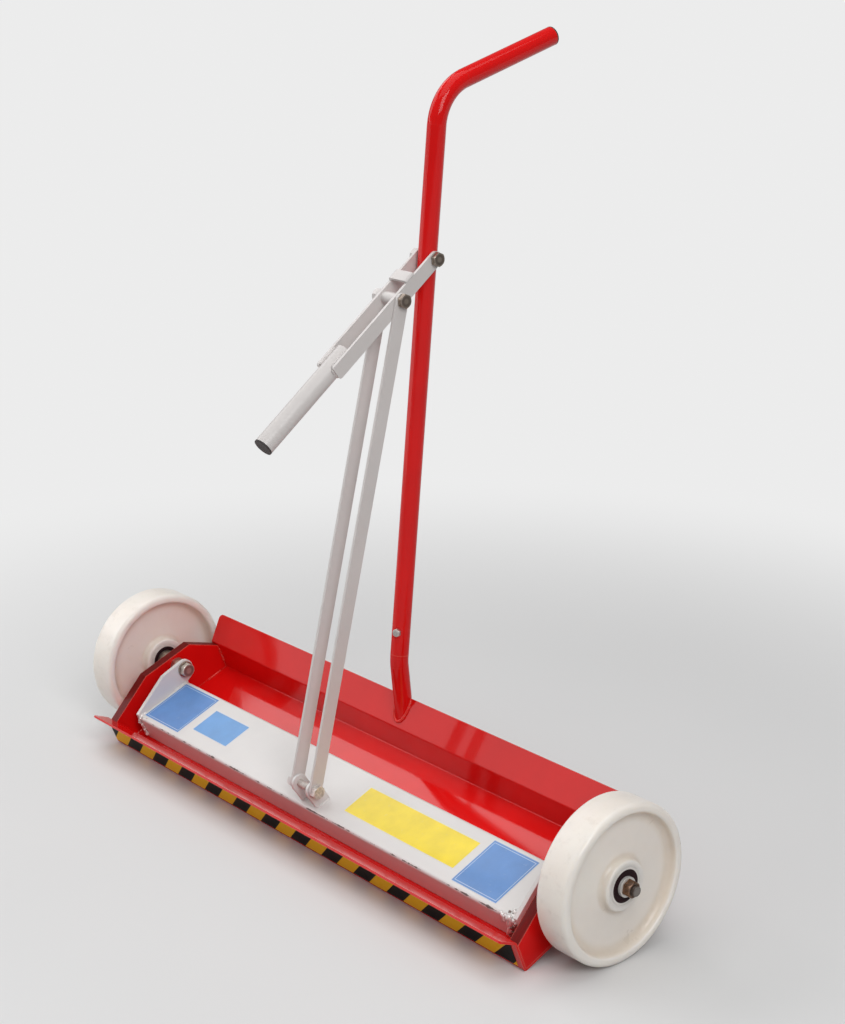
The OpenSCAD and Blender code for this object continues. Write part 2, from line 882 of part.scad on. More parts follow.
// Lever
module lever_bar(side) {
    color(white_paint) in_place() along_lever() on_side(side)
        difference() {
            slab(bar_in, bar_out)
                union() {
                    circle(d = bar_w, $fn = round_steps);
                    polygon(rounded(
                        [[0, -bar_w / 2], [bar_l, -bar_w / 2], [bar_l, bar_w / 2], [0, bar_w / 2]],
                        [0, bar_corner_r, bar_corner_r, 0]));
                }
            rod(link_bolt_d + 2 * run_gap, bar_in - 1, bar_out + 1);
            translate([link_arm, 0, 0])
                rod(link_bolt_d + 2 * fit_gap, bar_in - 1, bar_out + 1);
        }
}

module lever_bar_left() {
    lever_bar(-1);
}

module lever_bar_right() {
    lever_bar(1);
}

module lever_bridge() {
    low = -bar_w / 2 - seat_gap;
    high = low - bridge_t;
    edge = bridge_round * bridge_t;
    color(white_paint) in_place() along_lever()
        translate([bridge_from, 0, 0])
            rotate([90, 0, 90])
                linear_extrude(bridge_l)
                    polygon(rounded(
                        [[high, -bar_out], [low, -bar_out], [low, bar_out], [high, bar_out]],
                        [edge, 0, 0, edge]));
}

module lever_spacer() {
    end = bar_in - seat_gap;
    color(white_paint) in_place() along_lever()
        translate([link_arm, 0, 0])
            ring(spacer_d, link_bolt_d + 2 * fit_gap, -end, end);
}

module grip_tube() {
    bore = grip_d - 2 * grip_wall;
    neck_end = bar_l + 1;
    color(white_paint) in_place() along_lever()
        difference() {
            union() {
                run([grip_from, 0], 0, grip_to - grip_from - 1, grip_d - grip_neck);
                run([neck_end, 0], 0, grip_to - neck_end, grip_d);
            }
            run([grip_from - 1, 0], 0, grip_to - grip_from + 2, bore);
        }
}

module grip_plug() {
    color(black_plastic) in_place() along_lever()
        tube_plug([grip_to + seat_gap, 0], 0, grip_d, grip_d - 2 * grip_wall);
}

// Links
module link(side) {
    color(white_paint) in_place() along_link() on_side(side)
        difference() {
            slab(link_in, link_out)
                union() {
                    circle(d = link_w, $fn = round_steps);
                    translate([0, -link_w / 2])
                        square([link_l, link_w]);
                    translate([link_l, 0])
                        circle(d = link_w, $fn = round_steps);
                }
            rod(link_bolt_d + 2 * run_gap, link_in - 1, link_out + 1);
            translate([link_l, 0, 0])
                rod(link_bolt_d + 2 * link_play, link_in - 1, link_out + 1);
        }
}

module link_left() {
    link(-1);
}

module link_right() {
    link(1);
}

tray();
end_plate_left();
end_plate_right();
mast_stub();
mast_spigot();
mast_tube();
handle_plug();
clamp_bolt();
clamp_nut();
axle_bolts();
axle_washers();
pivot_bushes();
axle_sleeves();
wheel_spacers();
bearing_inner_rings();
axle_nuts();
lever_pivot_bolt();
lever_pivot_nut();
magnet_housing();
ear_plate_left();
ear_plate_right();
base_plate();
yoke_plate();
magnet_blocks();
lift_lug_left();
lift_lug_right();
lift_bolt();
lift_nut();
lever_bar_left();
lever_bar_right();
lever_bridge();
lever_spacer();
grip_tube();
grip_plug();
link_bolt();
link_nut();
link_left();
link_right();
wheel_left();
bearing_shells_left();
wheel_right();
bearing_shells_right();
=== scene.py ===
"""Looks for a magnetic nail sweeper: paint, nylon wheels, tape, labels, weld beads and a studio stage.

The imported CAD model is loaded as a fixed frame. Each operator dresses one piece or one group of
like pieces, and every new piece rides on the CAD body that carries it.
"""

import json
import math
import random

import bmesh
import bpy
from bpy.props import FloatProperty, FloatVectorProperty, PointerProperty
from bpy.types import Operator, Panel, PropertyGroup
from mathutils import Matrix, Vector, noise


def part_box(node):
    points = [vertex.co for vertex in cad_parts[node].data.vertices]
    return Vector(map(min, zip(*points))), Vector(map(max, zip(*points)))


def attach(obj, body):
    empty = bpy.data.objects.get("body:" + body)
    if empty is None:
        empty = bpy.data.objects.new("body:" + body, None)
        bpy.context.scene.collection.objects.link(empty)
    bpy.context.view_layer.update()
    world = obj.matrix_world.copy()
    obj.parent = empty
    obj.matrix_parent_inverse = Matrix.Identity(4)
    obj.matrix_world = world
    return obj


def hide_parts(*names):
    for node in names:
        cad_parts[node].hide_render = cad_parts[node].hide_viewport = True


bl_info = {
    "name": "Magnetic sweeper looks",
    "version": (1, 0, 0),
    "blender": (4, 5, 0),
    "location": "3D View > Sidebar > Sweeper",
    "description": "Finishes, wheels, tape, labels, welds and stage for a magnetic nail sweeper",
    "category": "Object",
}

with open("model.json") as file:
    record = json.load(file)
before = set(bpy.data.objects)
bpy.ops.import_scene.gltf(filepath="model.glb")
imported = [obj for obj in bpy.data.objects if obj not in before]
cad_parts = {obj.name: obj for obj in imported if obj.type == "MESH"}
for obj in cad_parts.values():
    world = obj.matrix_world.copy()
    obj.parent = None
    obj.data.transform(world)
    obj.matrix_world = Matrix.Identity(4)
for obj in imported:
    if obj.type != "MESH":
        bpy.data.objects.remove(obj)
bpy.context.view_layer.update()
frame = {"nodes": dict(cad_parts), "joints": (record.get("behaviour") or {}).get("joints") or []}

MM = 0.001
JOINTS = {joint["name"]: joint for joint in frame["joints"]}
AXLE = Vector(JOINTS["magnet_lift"]["pos_m"])
LEVER_PIVOT = Vector(JOINTS["lever_swing"]["pos_m"])
LIFT_PIN = Vector(JOINTS["link_swing"]["pos_m"])

# Directions of the tray, which leans forward on its front corner at rest
LEAN = math.radians(21.3313)
ACROSS = Vector((1, 0, 0))
REARWARD = Vector((0, math.cos(LEAN), math.sin(LEAN)))
UPWARD = Vector((0, -math.sin(LEAN), math.cos(LEAN)))

# Directions of the lever, which falls towards its grip
FALL = math.radians(16)
LEVER_ALONG = -math.cos(FALL) * REARWARD - math.sin(FALL) * UPWARD
LEVER_UP = -math.sin(FALL) * REARWARD + math.cos(FALL) * UPWARD
LINK_PIN = LEVER_PIVOT + 75 * MM * LEVER_ALONG

# Faces that tape, labels and welds lie on, in millimetres behind and above the axle with the tray level
TRAY_FRONT = -128.55
TRAY_FLOOR = -55.2
TRAY_REAR_WALL = 73.6
FLANGE_FOOT = (74, -12.6)
FLANGE_SLOPE = math.radians(45)
HOUSING_TOP = -20.7
HOUSING_FRONT = -97

# Places across, in millimetres from the middle
PLATE_FACE = 414.6
EAR_FACE = 394.2
LUG_FACES = {"inner": 12.4, "outer": 17.4}

# Sign of each side across
SIDES = {"left": -1, "right": 1}

# Labels on the housing: colour, left, right, front and rear edge in millimetres, and whether it has a line
LABELS = {
    "label_left": ("label_blue", -391, -307, -89, -9, True),
    "label_small": ("label_pale", -291, -211, -72.5, -26.5, False),
    "label_long": ("label_yellow", 54, 265, -74, -23.5, False),
    "label_right": ("label_blue", 277, 356, -89, -10.5, True),
}

# Weld passes over the right front corner of the housing, as points for spot()
CORNER_PASSES = (
    ((370, -94.8, -20.0), (377, -97.6, -21.4), (379, -98.6, -31.0)),
    ((376, -94.0, -20.0), (383, -97.4, -21.2), (384, -98.8, -36.0)),
    ((383, -93.0, -20.0), (389, -97.0, -21.0), (387, -98.8, -33.0)),
    ((391, -91.0, -20.2), (394, -95.0, -20.6), (393, -98.6, -27.0)),
    ((388, -98.4, -31.0), (381, -98.8, -42.0), (375, -98.4, -53.0)),
    ((396, -84.0, -20.4), (388, -87.0, -20.2), (382, -83.6, -20.6)),
)

# Radius and pitch of the threads
AXLE_THREAD = (6 * MM, 1.75 * MM)
PIN_THREAD = (5 * MM, 1.5 * MM)

# Colours of wear and dirt, and of painted edge highlights, glints and shade
# Pale reds mixed onto edges: painted highlights
EDGE_HIGHLIGHT_RED = (0.84, 0.16, 0.11)
EDGE_HIGHLIGHT_PLATE = (0.90, 0.27, 0.21)
CHIPPED_RED = (0.10, 0.035, 0.025)
CHIPPED_WHITE = (0.055, 0.036, 0.030)
GRIME = (0.36, 0.31, 0.27)
# Warm darker tint in the corners of the wheel's recess: grime, and painted shade
WEB_DIRT_AND_SHADE = (0.62, 0.50, 0.33)
TREAD_SCUFF = (0.34, 0.30, 0.25)
RUST_STAIN = (0.11, 0.060, 0.036)
RUST_TIP = (0.10, 0.056, 0.038)
HEAD_DIRT = (0.045, 0.028, 0.020)
# Pale metal on the edges of fasteners: worn plating, and painted glints
WORN_METAL_GLINT = (0.80, 0.76, 0.70)
GROUND_RING = (0.78, 0.74, 0.70)
PLUG_DUST = (0.14, 0.10, 0.09)
TAPE_DUST = (0.10, 0.06, 0.035)
LABEL_LINE = (0.60, 0.72, 0.86)
LABEL_RIM = (0.74, 0.76, 0.78)
LABEL_SCUFF = (0.70, 0.70, 0.68)

# Lamps and mirrored panels: width, height and place in metres, all aimed at one point
LAMPS = {
    "top_lamp": (2.6, 2.6, (0.1, -0.3, 3.2)),
    "key_lamp": (2.6, 2.6, (-3.2, -1.6, 2.5)),
    "fill_lamp": (2.2, 2.2, (3.2, -1.5, 3.0)),
    "roof_panel": (0.9, 1.12, (-1.79, 0.27, 2.07)),
    "front_panel": (1.9, 1.3, (-1.75, -1.75, 0.72)),
}
LAMP_TARGET = Vector((0, -0.05, 0.35))
SENSOR_WIDTH = 36


def spot(across, rear, up):
    """Point given in millimetres across, behind and above the axle, with the tray level."""
    return AXLE + (across * ACROSS + rear * REARWARD + up * UPWARD) * MM


def lever_spot(across, along, up):
    """Point given in millimetres across, along and above the lever from its pivot."""
    return LEVER_PIVOT + (across * ACROSS + along * LEVER_ALONG + up * LEVER_UP) * MM


def length(name, description, default):
    """Property for a length in metres."""
    return FloatProperty(name=name, description=description, default=default, unit="LENGTH", precision=5)


def power(name, description, default):
    """Property for the power of a lamp in watts."""
    return FloatProperty(name=name, description=description, default=default, unit="POWER")


def tint(name, description, default):
    """Property for a colour."""
    return FloatVectorProperty(name=name, description=description, default=default, subtype="COLOR",
                               size=3, min=0, max=1)


class SweeperColours(PropertyGroup):
    """Base colours of the finishes."""

    red: tint("Red paint", "Gloss paint of tray, end plates and mast", (0.73, 0.0065, 0.0062))
    # Near black red of the end plates' narrow edge faces: painted shade
    shaded_edge_red: tint("Cut edges", "Thin paint on the cut edges of the end plates", (0.07, 0.004, 0.0035))
    white: tint("White paint", "Satin paint of the magnet bar", (0.75, 0.74, 0.725))
    lever_white: tint("Lever paint", "Greyer satin paint of lever and links", (0.67, 0.635, 0.62))
    nylon: tint("Nylon", "Moulded wheels", (0.93, 0.86, 0.795))
    zinc: tint("Zinc", "Aged plating of the lever's bolts", (0.33, 0.27, 0.22))
    axle_zinc: tint("Axle zinc", "Paler plating of the axle bolts", (0.66, 0.60, 0.53))
    lift_zinc: tint("Lift zinc", "Dusty plating of the lift bolt", (0.70, 0.63, 0.58))
    clamp_zinc: tint("Clamp zinc", "Newer plating of the clamp bolt", (0.55, 0.53, 0.51))
    rusty_nut: tint("Rusty nut", "Brown nuts at the ends of the axle", (0.24, 0.125, 0.070))
    bright_steel: tint("Bright steel", "Axle sleeves and base plate", (0.74, 0.72, 0.69))
    dark_steel: tint("Dark steel", "Bearing shells and yoke plate", (0.018, 0.005, 0.007))
    ferrite: tint("Ferrite", "Magnet blocks", (0.035, 0.035, 0.04))
    plug: tint("Plug", "Plastic plugs in the tube ends", (0.020, 0.016, 0.016))
    tape_yellow: tint("Tape yellow", "Yellow stripes of the tape", (0.95, 0.46, 0.017))
    tape_black: tint("Tape black", "Black stripes of the tape", (0.006, 0.005, 0.005))
    label_blue: tint("Label blue", "Square labels at both ends of the magnet bar", (0.11, 0.27, 0.60))
    label_pale: tint("Pale label", "Small label beside the left one", (0.12, 0.33, 0.68))
    label_yellow: tint("Label yellow", "Long label on the right half", (0.92, 0.71, 0.015))


class SweeperWheel(PropertyGroup):
    """Half section of a wheel."""

    tread_r: length("Tread radius", "Radius of the wheel over its tread", 0.100)
    width: length("Width", "Width of tread and hub", 0.047)
    rim_r: length("Rim radius", "Inner radius of the rim at its lip", 0.0885)
    web: length("Web", "Thickness of the web beside the hub", 0.029)
    web_fall: length("Web fall", "Fall of each face of the web from hub to rim", 0.003)
    hub_r: length("Hub radius", "Radius of the hub at its face", 0.031)
    seat_r: length("Seat radius", "Radius of the bearing seat", 0.02355)
    seat_depth: length("Seat depth", "Depth of the bearing seat", 0.0121)
    bore_r: length("Bore radius", "Radius of the bore between the bearings", 0.019)
    draft: length("Draft", "Slope of the recess walls over their depth", 0.002)
    tread_edge_r: length("Tread edge", "Rounding of the tread's edges", 0.006)
    lip_r: length("Lip", "Rounding of the rim's inner edge", 0.003)
    rim_foot_r: length("Rim foot", "Rounding where the web meets the rim", 0.008)
    hub_foot_r: length("Hub foot", "Rounding where the web meets the hub", 0.006)
    hub_edge_r: length("Hub edge", "Rounding of the hub's edge", 0.0025)
    seat_edge_r: length("Seat edge", "Rounding of the bearing seat's edge", 0.0004)


class SweeperTrim(PropertyGroup):
    """Tape, labels, weld beads and rounded edges."""

    tape_from: length("Tape start", "Left end of the tape, from the middle", -0.429)
    tape_to: length("Tape end", "Right end of the tape, from the middle", 0.421)
    tape_low: length("Tape foot", "Lower edge of the tape, from the axle", -0.0523)
    tape_high: length("Tape top", "Upper edge of the tape, from the axle", -0.0155)
    tape_t: length("Tape thickness", "Thickness of the tape", 0.0003)
    stripe_pitch: length("Stripe pitch", "Distance from one yellow stripe to the next", 0.0652)
    stripe_shift: length("Stripe shift", "Sideways shift of the stripes", -0.0065)
    stripe_slope: FloatProperty(name="Stripe slope", description="Sideways run of a stripe for its height",
                                default=1.0)
    label_t: length("Label thickness", "Thickness of a label", 0.0002)
    label_corner: length("Label corner", "Rounding of a label's corners", 0.002)
    border_in: length("Border inset", "Distance from a label's edge to its pale line", 0.0035)
    border_w: length("Border width", "Width of that line", 0.0009)
    ripple: length("Weld ripple", "Distance between the ripples of a weld bead", 0.0016)
    edge: length("Edge", "Rounding of plate and bar edges", 0.0006)
    bolt_edge: length("Bolt edge", "Rounding of the edges of bolts, nuts and plugs", 0.0004)


class SweeperStage(PropertyGroup):
    """Camera, floor and lamps."""

    camera_at: FloatVectorProperty(name="Camera", description="Place of the camera", subtype="TRANSLATION",
                                   unit="LENGTH", default=(1.80209, -1.56335, 1.14843))
    camera_turn: FloatVectorProperty(name="Camera turn", description="Rotation of the camera",
                                     subtype="EULER",
                                     default=tuple(map(math.radians, (72.8924, -0.0374, 48.7184))))
    lens: FloatProperty(name="Lens", description="Focal length in millimetres", default=66.5546)
    floor: tint("Floor", "Colour of the floor", (0.76, 0.76, 0.76))
    floor_bounce: tint("Floor bounce", "Colour of the light that the floor throws back", (0.45, 0.45, 0.45))
    sky: FloatProperty(name="Sky", description="Strength of the even light from all round", default=0.24)
    far: FloatProperty(name="Far floor", description="Brightness of the floor away from the part",
                       default=0.84)
    far_from: length("Far floor start", "Distance at which the floor starts to brighten", 0.55)
    far_to: length("Far floor end", "Distance at which the floor has its far brightness", 1.6)
    top_lamp: power("Top lamp", "Power of the lamp above", 32)
    key_lamp: power("Key lamp", "Power of the lamp at the left", 38)
    fill_lamp: power("Fill lamp", "Power of the lamp at the right", 81)
    roof_panel: power("Roof panel", "Power of the panel that the tray's floor mirrors", 6.6)
    front_panel: power("Front panel", "Power of the panel that the rear flange mirrors", 8)


class Value:
    """A shader socket that takes part in sums; each operation adds one Math node."""

    def __init__(self, finish, socket):
        self.finish = finish
        self.socket = socket

    def _math(self, operation, first, second):
        return self.finish.node("ShaderNodeMath", {"operation": operation}, {0: first, 1: second})

    def __add__(self, other):
        return self._math("ADD", self, other)

    def __radd__(self, other):
        return self._math("ADD", other, self)

    def __sub__(self, other):
        return self._math("SUBTRACT", self, other)

    def __rsub__(self, other):
        return self._math("SUBTRACT", other, self)

    def __mul__(self, other):
        return self._math("MULTIPLY", self, other)

    def __rmul__(self, other):
        return self._math("MULTIPLY", other, self)

    def __truediv__(self, other):
        return self._math("DIVIDE", self, other)

    def __mod__(self, other):
        return self._math("FLOORED_MODULO", self, other)


class Finish:
    """A procedural material built on one Principled shader."""

    def __init__(self, name, **constants):
        self.material = bpy.data.materials.new(name)
        self.material.use_nodes = True
        self.tree = self.material.node_tree
        self.tree.nodes.clear()
        self.output = self.tree.nodes.new("ShaderNodeOutputMaterial")
        self.shader = self.tree.nodes.new("ShaderNodeBsdfPrincipled")
        self.tree.links.new(self.shader.outputs[0], self.output.inputs["Surface"])
        for socket, value in constants.items():
            self.shader.inputs[socket.replace("_", " ")].default_value = value
        self.place = self.node("ShaderNodeTexCoord", out="Object")

    def node(self, kind, settings=None, inputs=None, out=0):
        """Adds a node: its settings first, then the values or links of its sockets."""
        made = self.tree.nodes.new(kind)
        for key, value in (settings or {}).items():
            if key == "stops":
                self._ramp(made.color_ramp, value)
            else:
                setattr(made, key, value)
        for key, value in (inputs or {}).items():
            self._feed(made.inputs[key], value)
        return Value(self, made.outputs[out])

    @staticmethod
    def _ramp(ramp, stops):
        while len(ramp.elements) < len(stops):
            ramp.elements.new(1)
        for element, (position, colour) in zip(ramp.elements, stops):
            element.position = position
            element.color = (*colour, 1)

    def _feed(self, socket, value):
        if isinstance(value, Value):
            self.tree.links.new(value.socket, socket)
        elif hasattr(value, "__len__") and socket.type == "RGBA":
            socket.default_value = (*value[:3], 1)
        else:
            socket.default_value = value

    def paint(self, **inputs):
        """Feeds the shader's own sockets and returns the material."""
        for socket, value in inputs.items():
            self._feed(self.shader.inputs[socket.replace("_", " ")], value)
        return self.material

    def blend(self, other, share):
        """Mixes another shader over the Principled one."""
        own = Value(self, self.shader.outputs[0])
        both = self.node("ShaderNodeMixShader", None, {0: share, 1: own, 2: other})
        self.tree.links.new(both.socket, self.output.inputs["Surface"])

    def noise(self, scale, detail=2.0, roughness=0.5, stretch=None):
        """Noise in the row frame, drawn out by the stretch of each axis."""
        place = self.place
        if stretch:
            place = self.node("ShaderNodeVectorMath", {"operation": "MULTIPLY"}, {0: place, 1: stretch})
        return self.node("ShaderNodeTexNoise", None,
                         {"Vector": place, "Scale": scale, "Detail": detail, "Roughness": roughness})

    def line_noise(self, along, scale, detail, roughness=0.5):
        """Noise that changes along one distance only."""
        return self.node("ShaderNodeTexNoise", {"noise_dimensions": "1D"},
                         {"W": along, "Scale": scale, "Detail": detail, "Roughness": roughness})

    def step(self, value, low, high):
        """0 below low, 1 above high, and smooth between them; low may be the larger."""
        return self.node("ShaderNodeMapRange", {"interpolation_type": "SMOOTHSTEP", "clamp": True},
                         {"Value": value, "From Min": low, "From Max": high})

    def most(self, first, second):
        """The larger of two values."""
        return self.node("ShaderNodeMath", {"operation": "MAXIMUM"}, {0: first, 1: second})

    def least(self, first, second):
        """The smaller of two values."""
        return self.node("ShaderNodeMath", {"operation": "MINIMUM"}, {0: first, 1: second})

    def size(self, value):
        """A value without its sign."""
        return self.node("ShaderNodeMath", {"operation": "ABSOLUTE"}, {0: value})

    def mix(self, share, first, second):
        """Colour between first and second."""
        return self.node("ShaderNodeMix", {"data_type": "RGBA", "clamp_factor": True},
                         {0: share, 6: first, 7: second}, 2)

    def tone(self, share, dark, light):
        """Colour ramp between two colours."""
        return self.node("ShaderNodeValToRGB", {"stops": [(0.3, dark), (0.7, light)]}, {"Fac": share})

    def along(self, way, origin=AXLE):
        """Distance from origin along a direction, in metres."""
        offset = self.node("ShaderNodeVectorMath", {"operation": "SUBTRACT"}, {0: self.place, 1: origin})
        return self.node("ShaderNodeVectorMath", {"operation": "DOT_PRODUCT"}, {0: offset, 1: way}, "Value")

    def off_axis(self, way, origin=AXLE):
        """Distance from the line through origin, in metres."""
        offset = self.node("ShaderNodeVectorMath", {"operation": "SUBTRACT"}, {0: self.place, 1: origin})
        side = self.node("ShaderNodeVectorMath", {"operation": "CROSS_PRODUCT"}, {0: offset, 1: way})
        return self.node("ShaderNodeVectorMath", {"operation": "LENGTH"}, {0: side}, "Value")

    def facing(self, way):
        """1 on faces square to a direction, either way round, and 0 on faces along it."""
        normal = self.node("ShaderNodeTexCoord", out="Normal")
        return self.size(self.node("ShaderNodeVectorMath", {"operation": "DOT_PRODUCT"},
                                   {0: normal, 1: way}, "Value"))

    def edges(self, reach):
        """Close to 1 on outer and inner edges, and 0 on flat ground."""
        soft = self.node("ShaderNodeBevel", {"samples": 6}, {"Radius": reach})
        flat = self.node("ShaderNodeNewGeometry", None, None, "True Normal")
        bend = self.node("ShaderNodeVectorMath", {"operation": "DOT_PRODUCT"}, {0: soft, 1: flat}, "Value")
        return self.step(bend, 0.985, 0.80)

    def bump(self, height, distance, strength):
        """Normal that follows a height."""
        return self.node("ShaderNodeBump", None,
                         {"Strength": strength, "Distance": distance, "Height": height}, "Normal")


def shade(colour, factor):
    """A lighter or darker form of a colour."""
    return tuple(min(1.0, part * factor) for part in colour)


def red_paint(colours, name, gloss, shaded_edges=False):
    """Gloss paint with a faint orange peel, slow drift in its red, painted highlights along its edges, and
    painted shade on the narrow edge faces of the end plates.
    """
    red = tuple(colours.red)
    coat = Finish(name, IOR=1.5, Specular_IOR_Level=gloss)
    drift = coat.noise(7, 3, 0.55)
    peel = coat.noise(430, 2, 0.5)
    highlight_patches = coat.step(coat.noise(55, 6, 0.7), 0.56, 0.72)
    edge = coat.edges(2.6 * MM if shaded_edges else 1.6 * MM)
    colour = coat.tone(drift, shade(red, 0.88), shade(red, 1.06))
    rough = 0.05 + 0.06 * drift
    if shaded_edges:
        # The plates' narrow edge faces, darkened towards a near black red as painted shade
        shaded = coat.step(coat.facing(ACROSS), 0.55, 0.35)
        grain = coat.noise(40, 4, 0.6, (6, 1, 1))
        colour = coat.mix(shaded * (0.75 + 0.25 * grain), colour, tuple(colours.shaded_edge_red))
        rough = rough + 0.36 * shaded
    edge_highlight = EDGE_HIGHLIGHT_PLATE if shaded_edges else EDGE_HIGHLIGHT_RED
    # Edges lightened towards a pale red in noisy patches: a painted highlight
    colour = coat.mix(edge * (0.55 + 0.45 * highlight_patches), colour, edge_highlight)
    chip = edge * coat.step(coat.noise(160, 4, 0.6), 0.67, 0.73)
    colour = coat.mix(chip * 0.7, colour, CHIPPED_RED)
    return coat.paint(Base_Color=colour, Roughness=rough + 0.2 * chip, Coat_Weight=0.12 - 0.08 * drift,
                      Normal=coat.bump(peel - 3.0 * chip, 0.007 * MM, 0.5))


def white_paint(name, white, worn_edge=False):
    """Satin paint with a soft grey drift, grime in its corners and small chips on its edges."""
    coat = Finish(name, IOR=1.48, Coat_Roughness=0.18)
    drift = coat.noise(9, 3, 0.6)
    peel = coat.noise(380, 2, 0.5)
    grime = coat.step(coat.noise(34, 6, 0.68), 0.52, 0.78)
    edge = coat.edges(1.2 * MM)
    colour = coat.tone(drift, shade(white, 0.955), shade(white, 1.01))
    colour = coat.mix(grime * (0.05 + 0.25 * edge), colour, GRIME)
    chip = edge * coat.step(coat.noise(210, 5, 0.62), 0.63, 0.69)
    if worn_edge:
        below = HOUSING_TOP * MM - coat.along(UPWARD)
        behind = coat.along(REARWARD) - HOUSING_FRONT * MM
        torn = coat.line_noise(coat.along(ACROSS), 22, 7, 0.66)
        width = (torn - 0.48) * 13 * MM
        streak = coat.step(width - coat.size(below - behind - 0.6 * MM), -0.1 * MM, 0.25 * MM)
        chip = coat.most(chip, streak * coat.step(below + behind, 8 * MM, 6 * MM))
    colour = coat.mix(chip * 0.85, colour, CHIPPED_WHITE)
    return coat.paint(Base_Color=colour, Roughness=0.36 + 0.10 * drift + 0.14 * grime + 0.2 * chip,
                      Coat_Weight=0.22 - 0.18 * grime,
                      Normal=coat.bump(peel - 1.5 * chip, 0.06 * MM, 0.55))


def nylon(colours, wheel):
    """Cream moulded nylon: faint turned rings, a rolled tread, and grime with painted shade where the web
    meets rim and hub.
    """
    cream, rim, hub = tuple(colours.nylon), wheel.rim_r, wheel.hub_r
    skin = Finish("cream_nylon", IOR=1.53, Subsurface_Weight=0.75, Subsurface_Scale=0.012,
                  Subsurface_Radius=(1.0, 0.95, 0.88), Coat_Roughness=0.25)
    out = skin.off_axis(ACROSS)
    drift = skin.noise(16, 4, 0.6)
    mottle = skin.noise(120, 4, 0.6)
    haze = skin.noise(40, 3, 0.7)
    rings = skin.line_noise(out, 900, 3, 0.6)
    corner = (skin.step(out, rim - 16.5 * MM, rim - 4.5 * MM)
              * skin.step(out, rim + 0.5 * MM, rim - 1.5 * MM))
    foot = (skin.step(out, hub + 9 * MM, hub + 3 * MM)
            * skin.step(out, hub - 2 * MM, hub + 1.5 * MM))
    tread = skin.step(out, wheel.tread_r - 0.8 * MM, wheel.tread_r - 0.1 * MM)
    scuff = tread * skin.step(skin.noise(70, 6, 0.72), 0.50, 0.70)
    colour = skin.tone(drift, shade(cream, 0.955), shade(cream, 1.02))
    # Warm darker tint where the web meets rim and hub: grime, and painted shade in these corners
    dirt_and_shade = skin.most(0.34 * corner, 0.28 * foot) * (0.6 + 0.6 * mottle)
    colour = skin.mix(dirt_and_shade, colour, WEB_DIRT_AND_SHADE)
    colour = skin.mix(scuff * 0.14, colour, TREAD_SCUFF)
    return skin.paint(Base_Color=colour, Roughness=0.22 + 0.10 * drift + 0.22 * scuff + 0.05 * haze,
                      Coat_Weight=0.18 - 0.14 * scuff,
                      Normal=skin.bump(rings + 0.5 * mottle, 0.03 * MM, 0.5))


def plated(name, base, pins=(), *, rust, shine=0.92, dirt_and_shade=0.85, rusty_tip=False):
    """Aged plating with brown stains, edges lightened as wear and painted glints, painted shade on the flat
    ends of heads and nuts, and grime and thread bumps round pins (origin, radius, pitch).
    """
    metal = Finish(name, IOR=2.2)
    bloom = metal.noise(210, 5, 0.65)
    stain = metal.step(metal.noise(170, 6, 0.7), 0.46, 0.66)
    grain = metal.noise(1500, 2, 0.5)
    colour = metal.tone(bloom, shade(base, 0.45), shade(base, 1.45))
    colour = metal.mix(stain * rust, colour, RUST_STAIN)
    if rusty_tip:
        tip = metal.step(metal.size(metal.along(ACROSS)), 490 * MM, 498 * MM)
        colour = metal.mix(tip * (0.55 + 0.8 * bloom), colour, RUST_TIP)
    # Flat ends of heads and nuts darkened: painted shade, which leaves the facets lighter
    shaded_face = metal.step(metal.facing(ACROSS), 0.80, 0.97)
    colour = metal.mix(shaded_face * dirt_and_shade * (0.2 + bloom), colour, shade(base, 0.28))
    # Edges lightened towards pale metal: worn plating, and painted glints on the facets
    colour = metal.mix(0.65 * metal.edges(0.9 * MM), colour, WORN_METAL_GLINT)
    height = 0.25 * grain + 0.3 * bloom
    for origin, radius, pitch in pins:
        away = metal.off_axis(ACROSS, origin)
        ring = (metal.step(away, radius * 0.5, radius * 0.95)
                * metal.step(away, radius * 1.5, radius * 1.2))
        colour = metal.mix(ring * dirt_and_shade * (0.4 + 0.6 * bloom), colour, HEAD_DIRT)
        shank = (metal.step(away, radius * 1.06, radius * 1.02)
                 * metal.step(away, radius * 0.8, radius * 0.9))
        turn = metal.along(ACROSS, origin) / pitch % 1.0
        height = height + shank * metal.size(turn - 0.5) * 6.0
    return metal.paint(Base_Color=colour, Metallic=shine - 0.5 * shine * stain * rust,
                       Roughness=0.26 + 0.14 * bloom + 0.18 * stain,
                       Normal=metal.bump(height, 0.12 * MM, 0.6))


def bright_steel(colours):
    """Turned steel with fine grooves round the axle and a light oil film."""
    metal = Finish("turned_bright_steel", IOR=2.5)
    lathe = metal.line_noise(metal.along(ACROSS), 2600, 2)
    film = metal.noise(60, 4, 0.6)
    colour = metal.tone(film, shade(colours.bright_steel, 0.84), shade(colours.bright_steel, 1.06))
    return metal.paint(Base_Color=colour, Metallic=0.55 - 0.25 * film, Roughness=0.36 + 0.18 * film,
                       Normal=metal.bump(lathe, 0.02 * MM, 0.5))


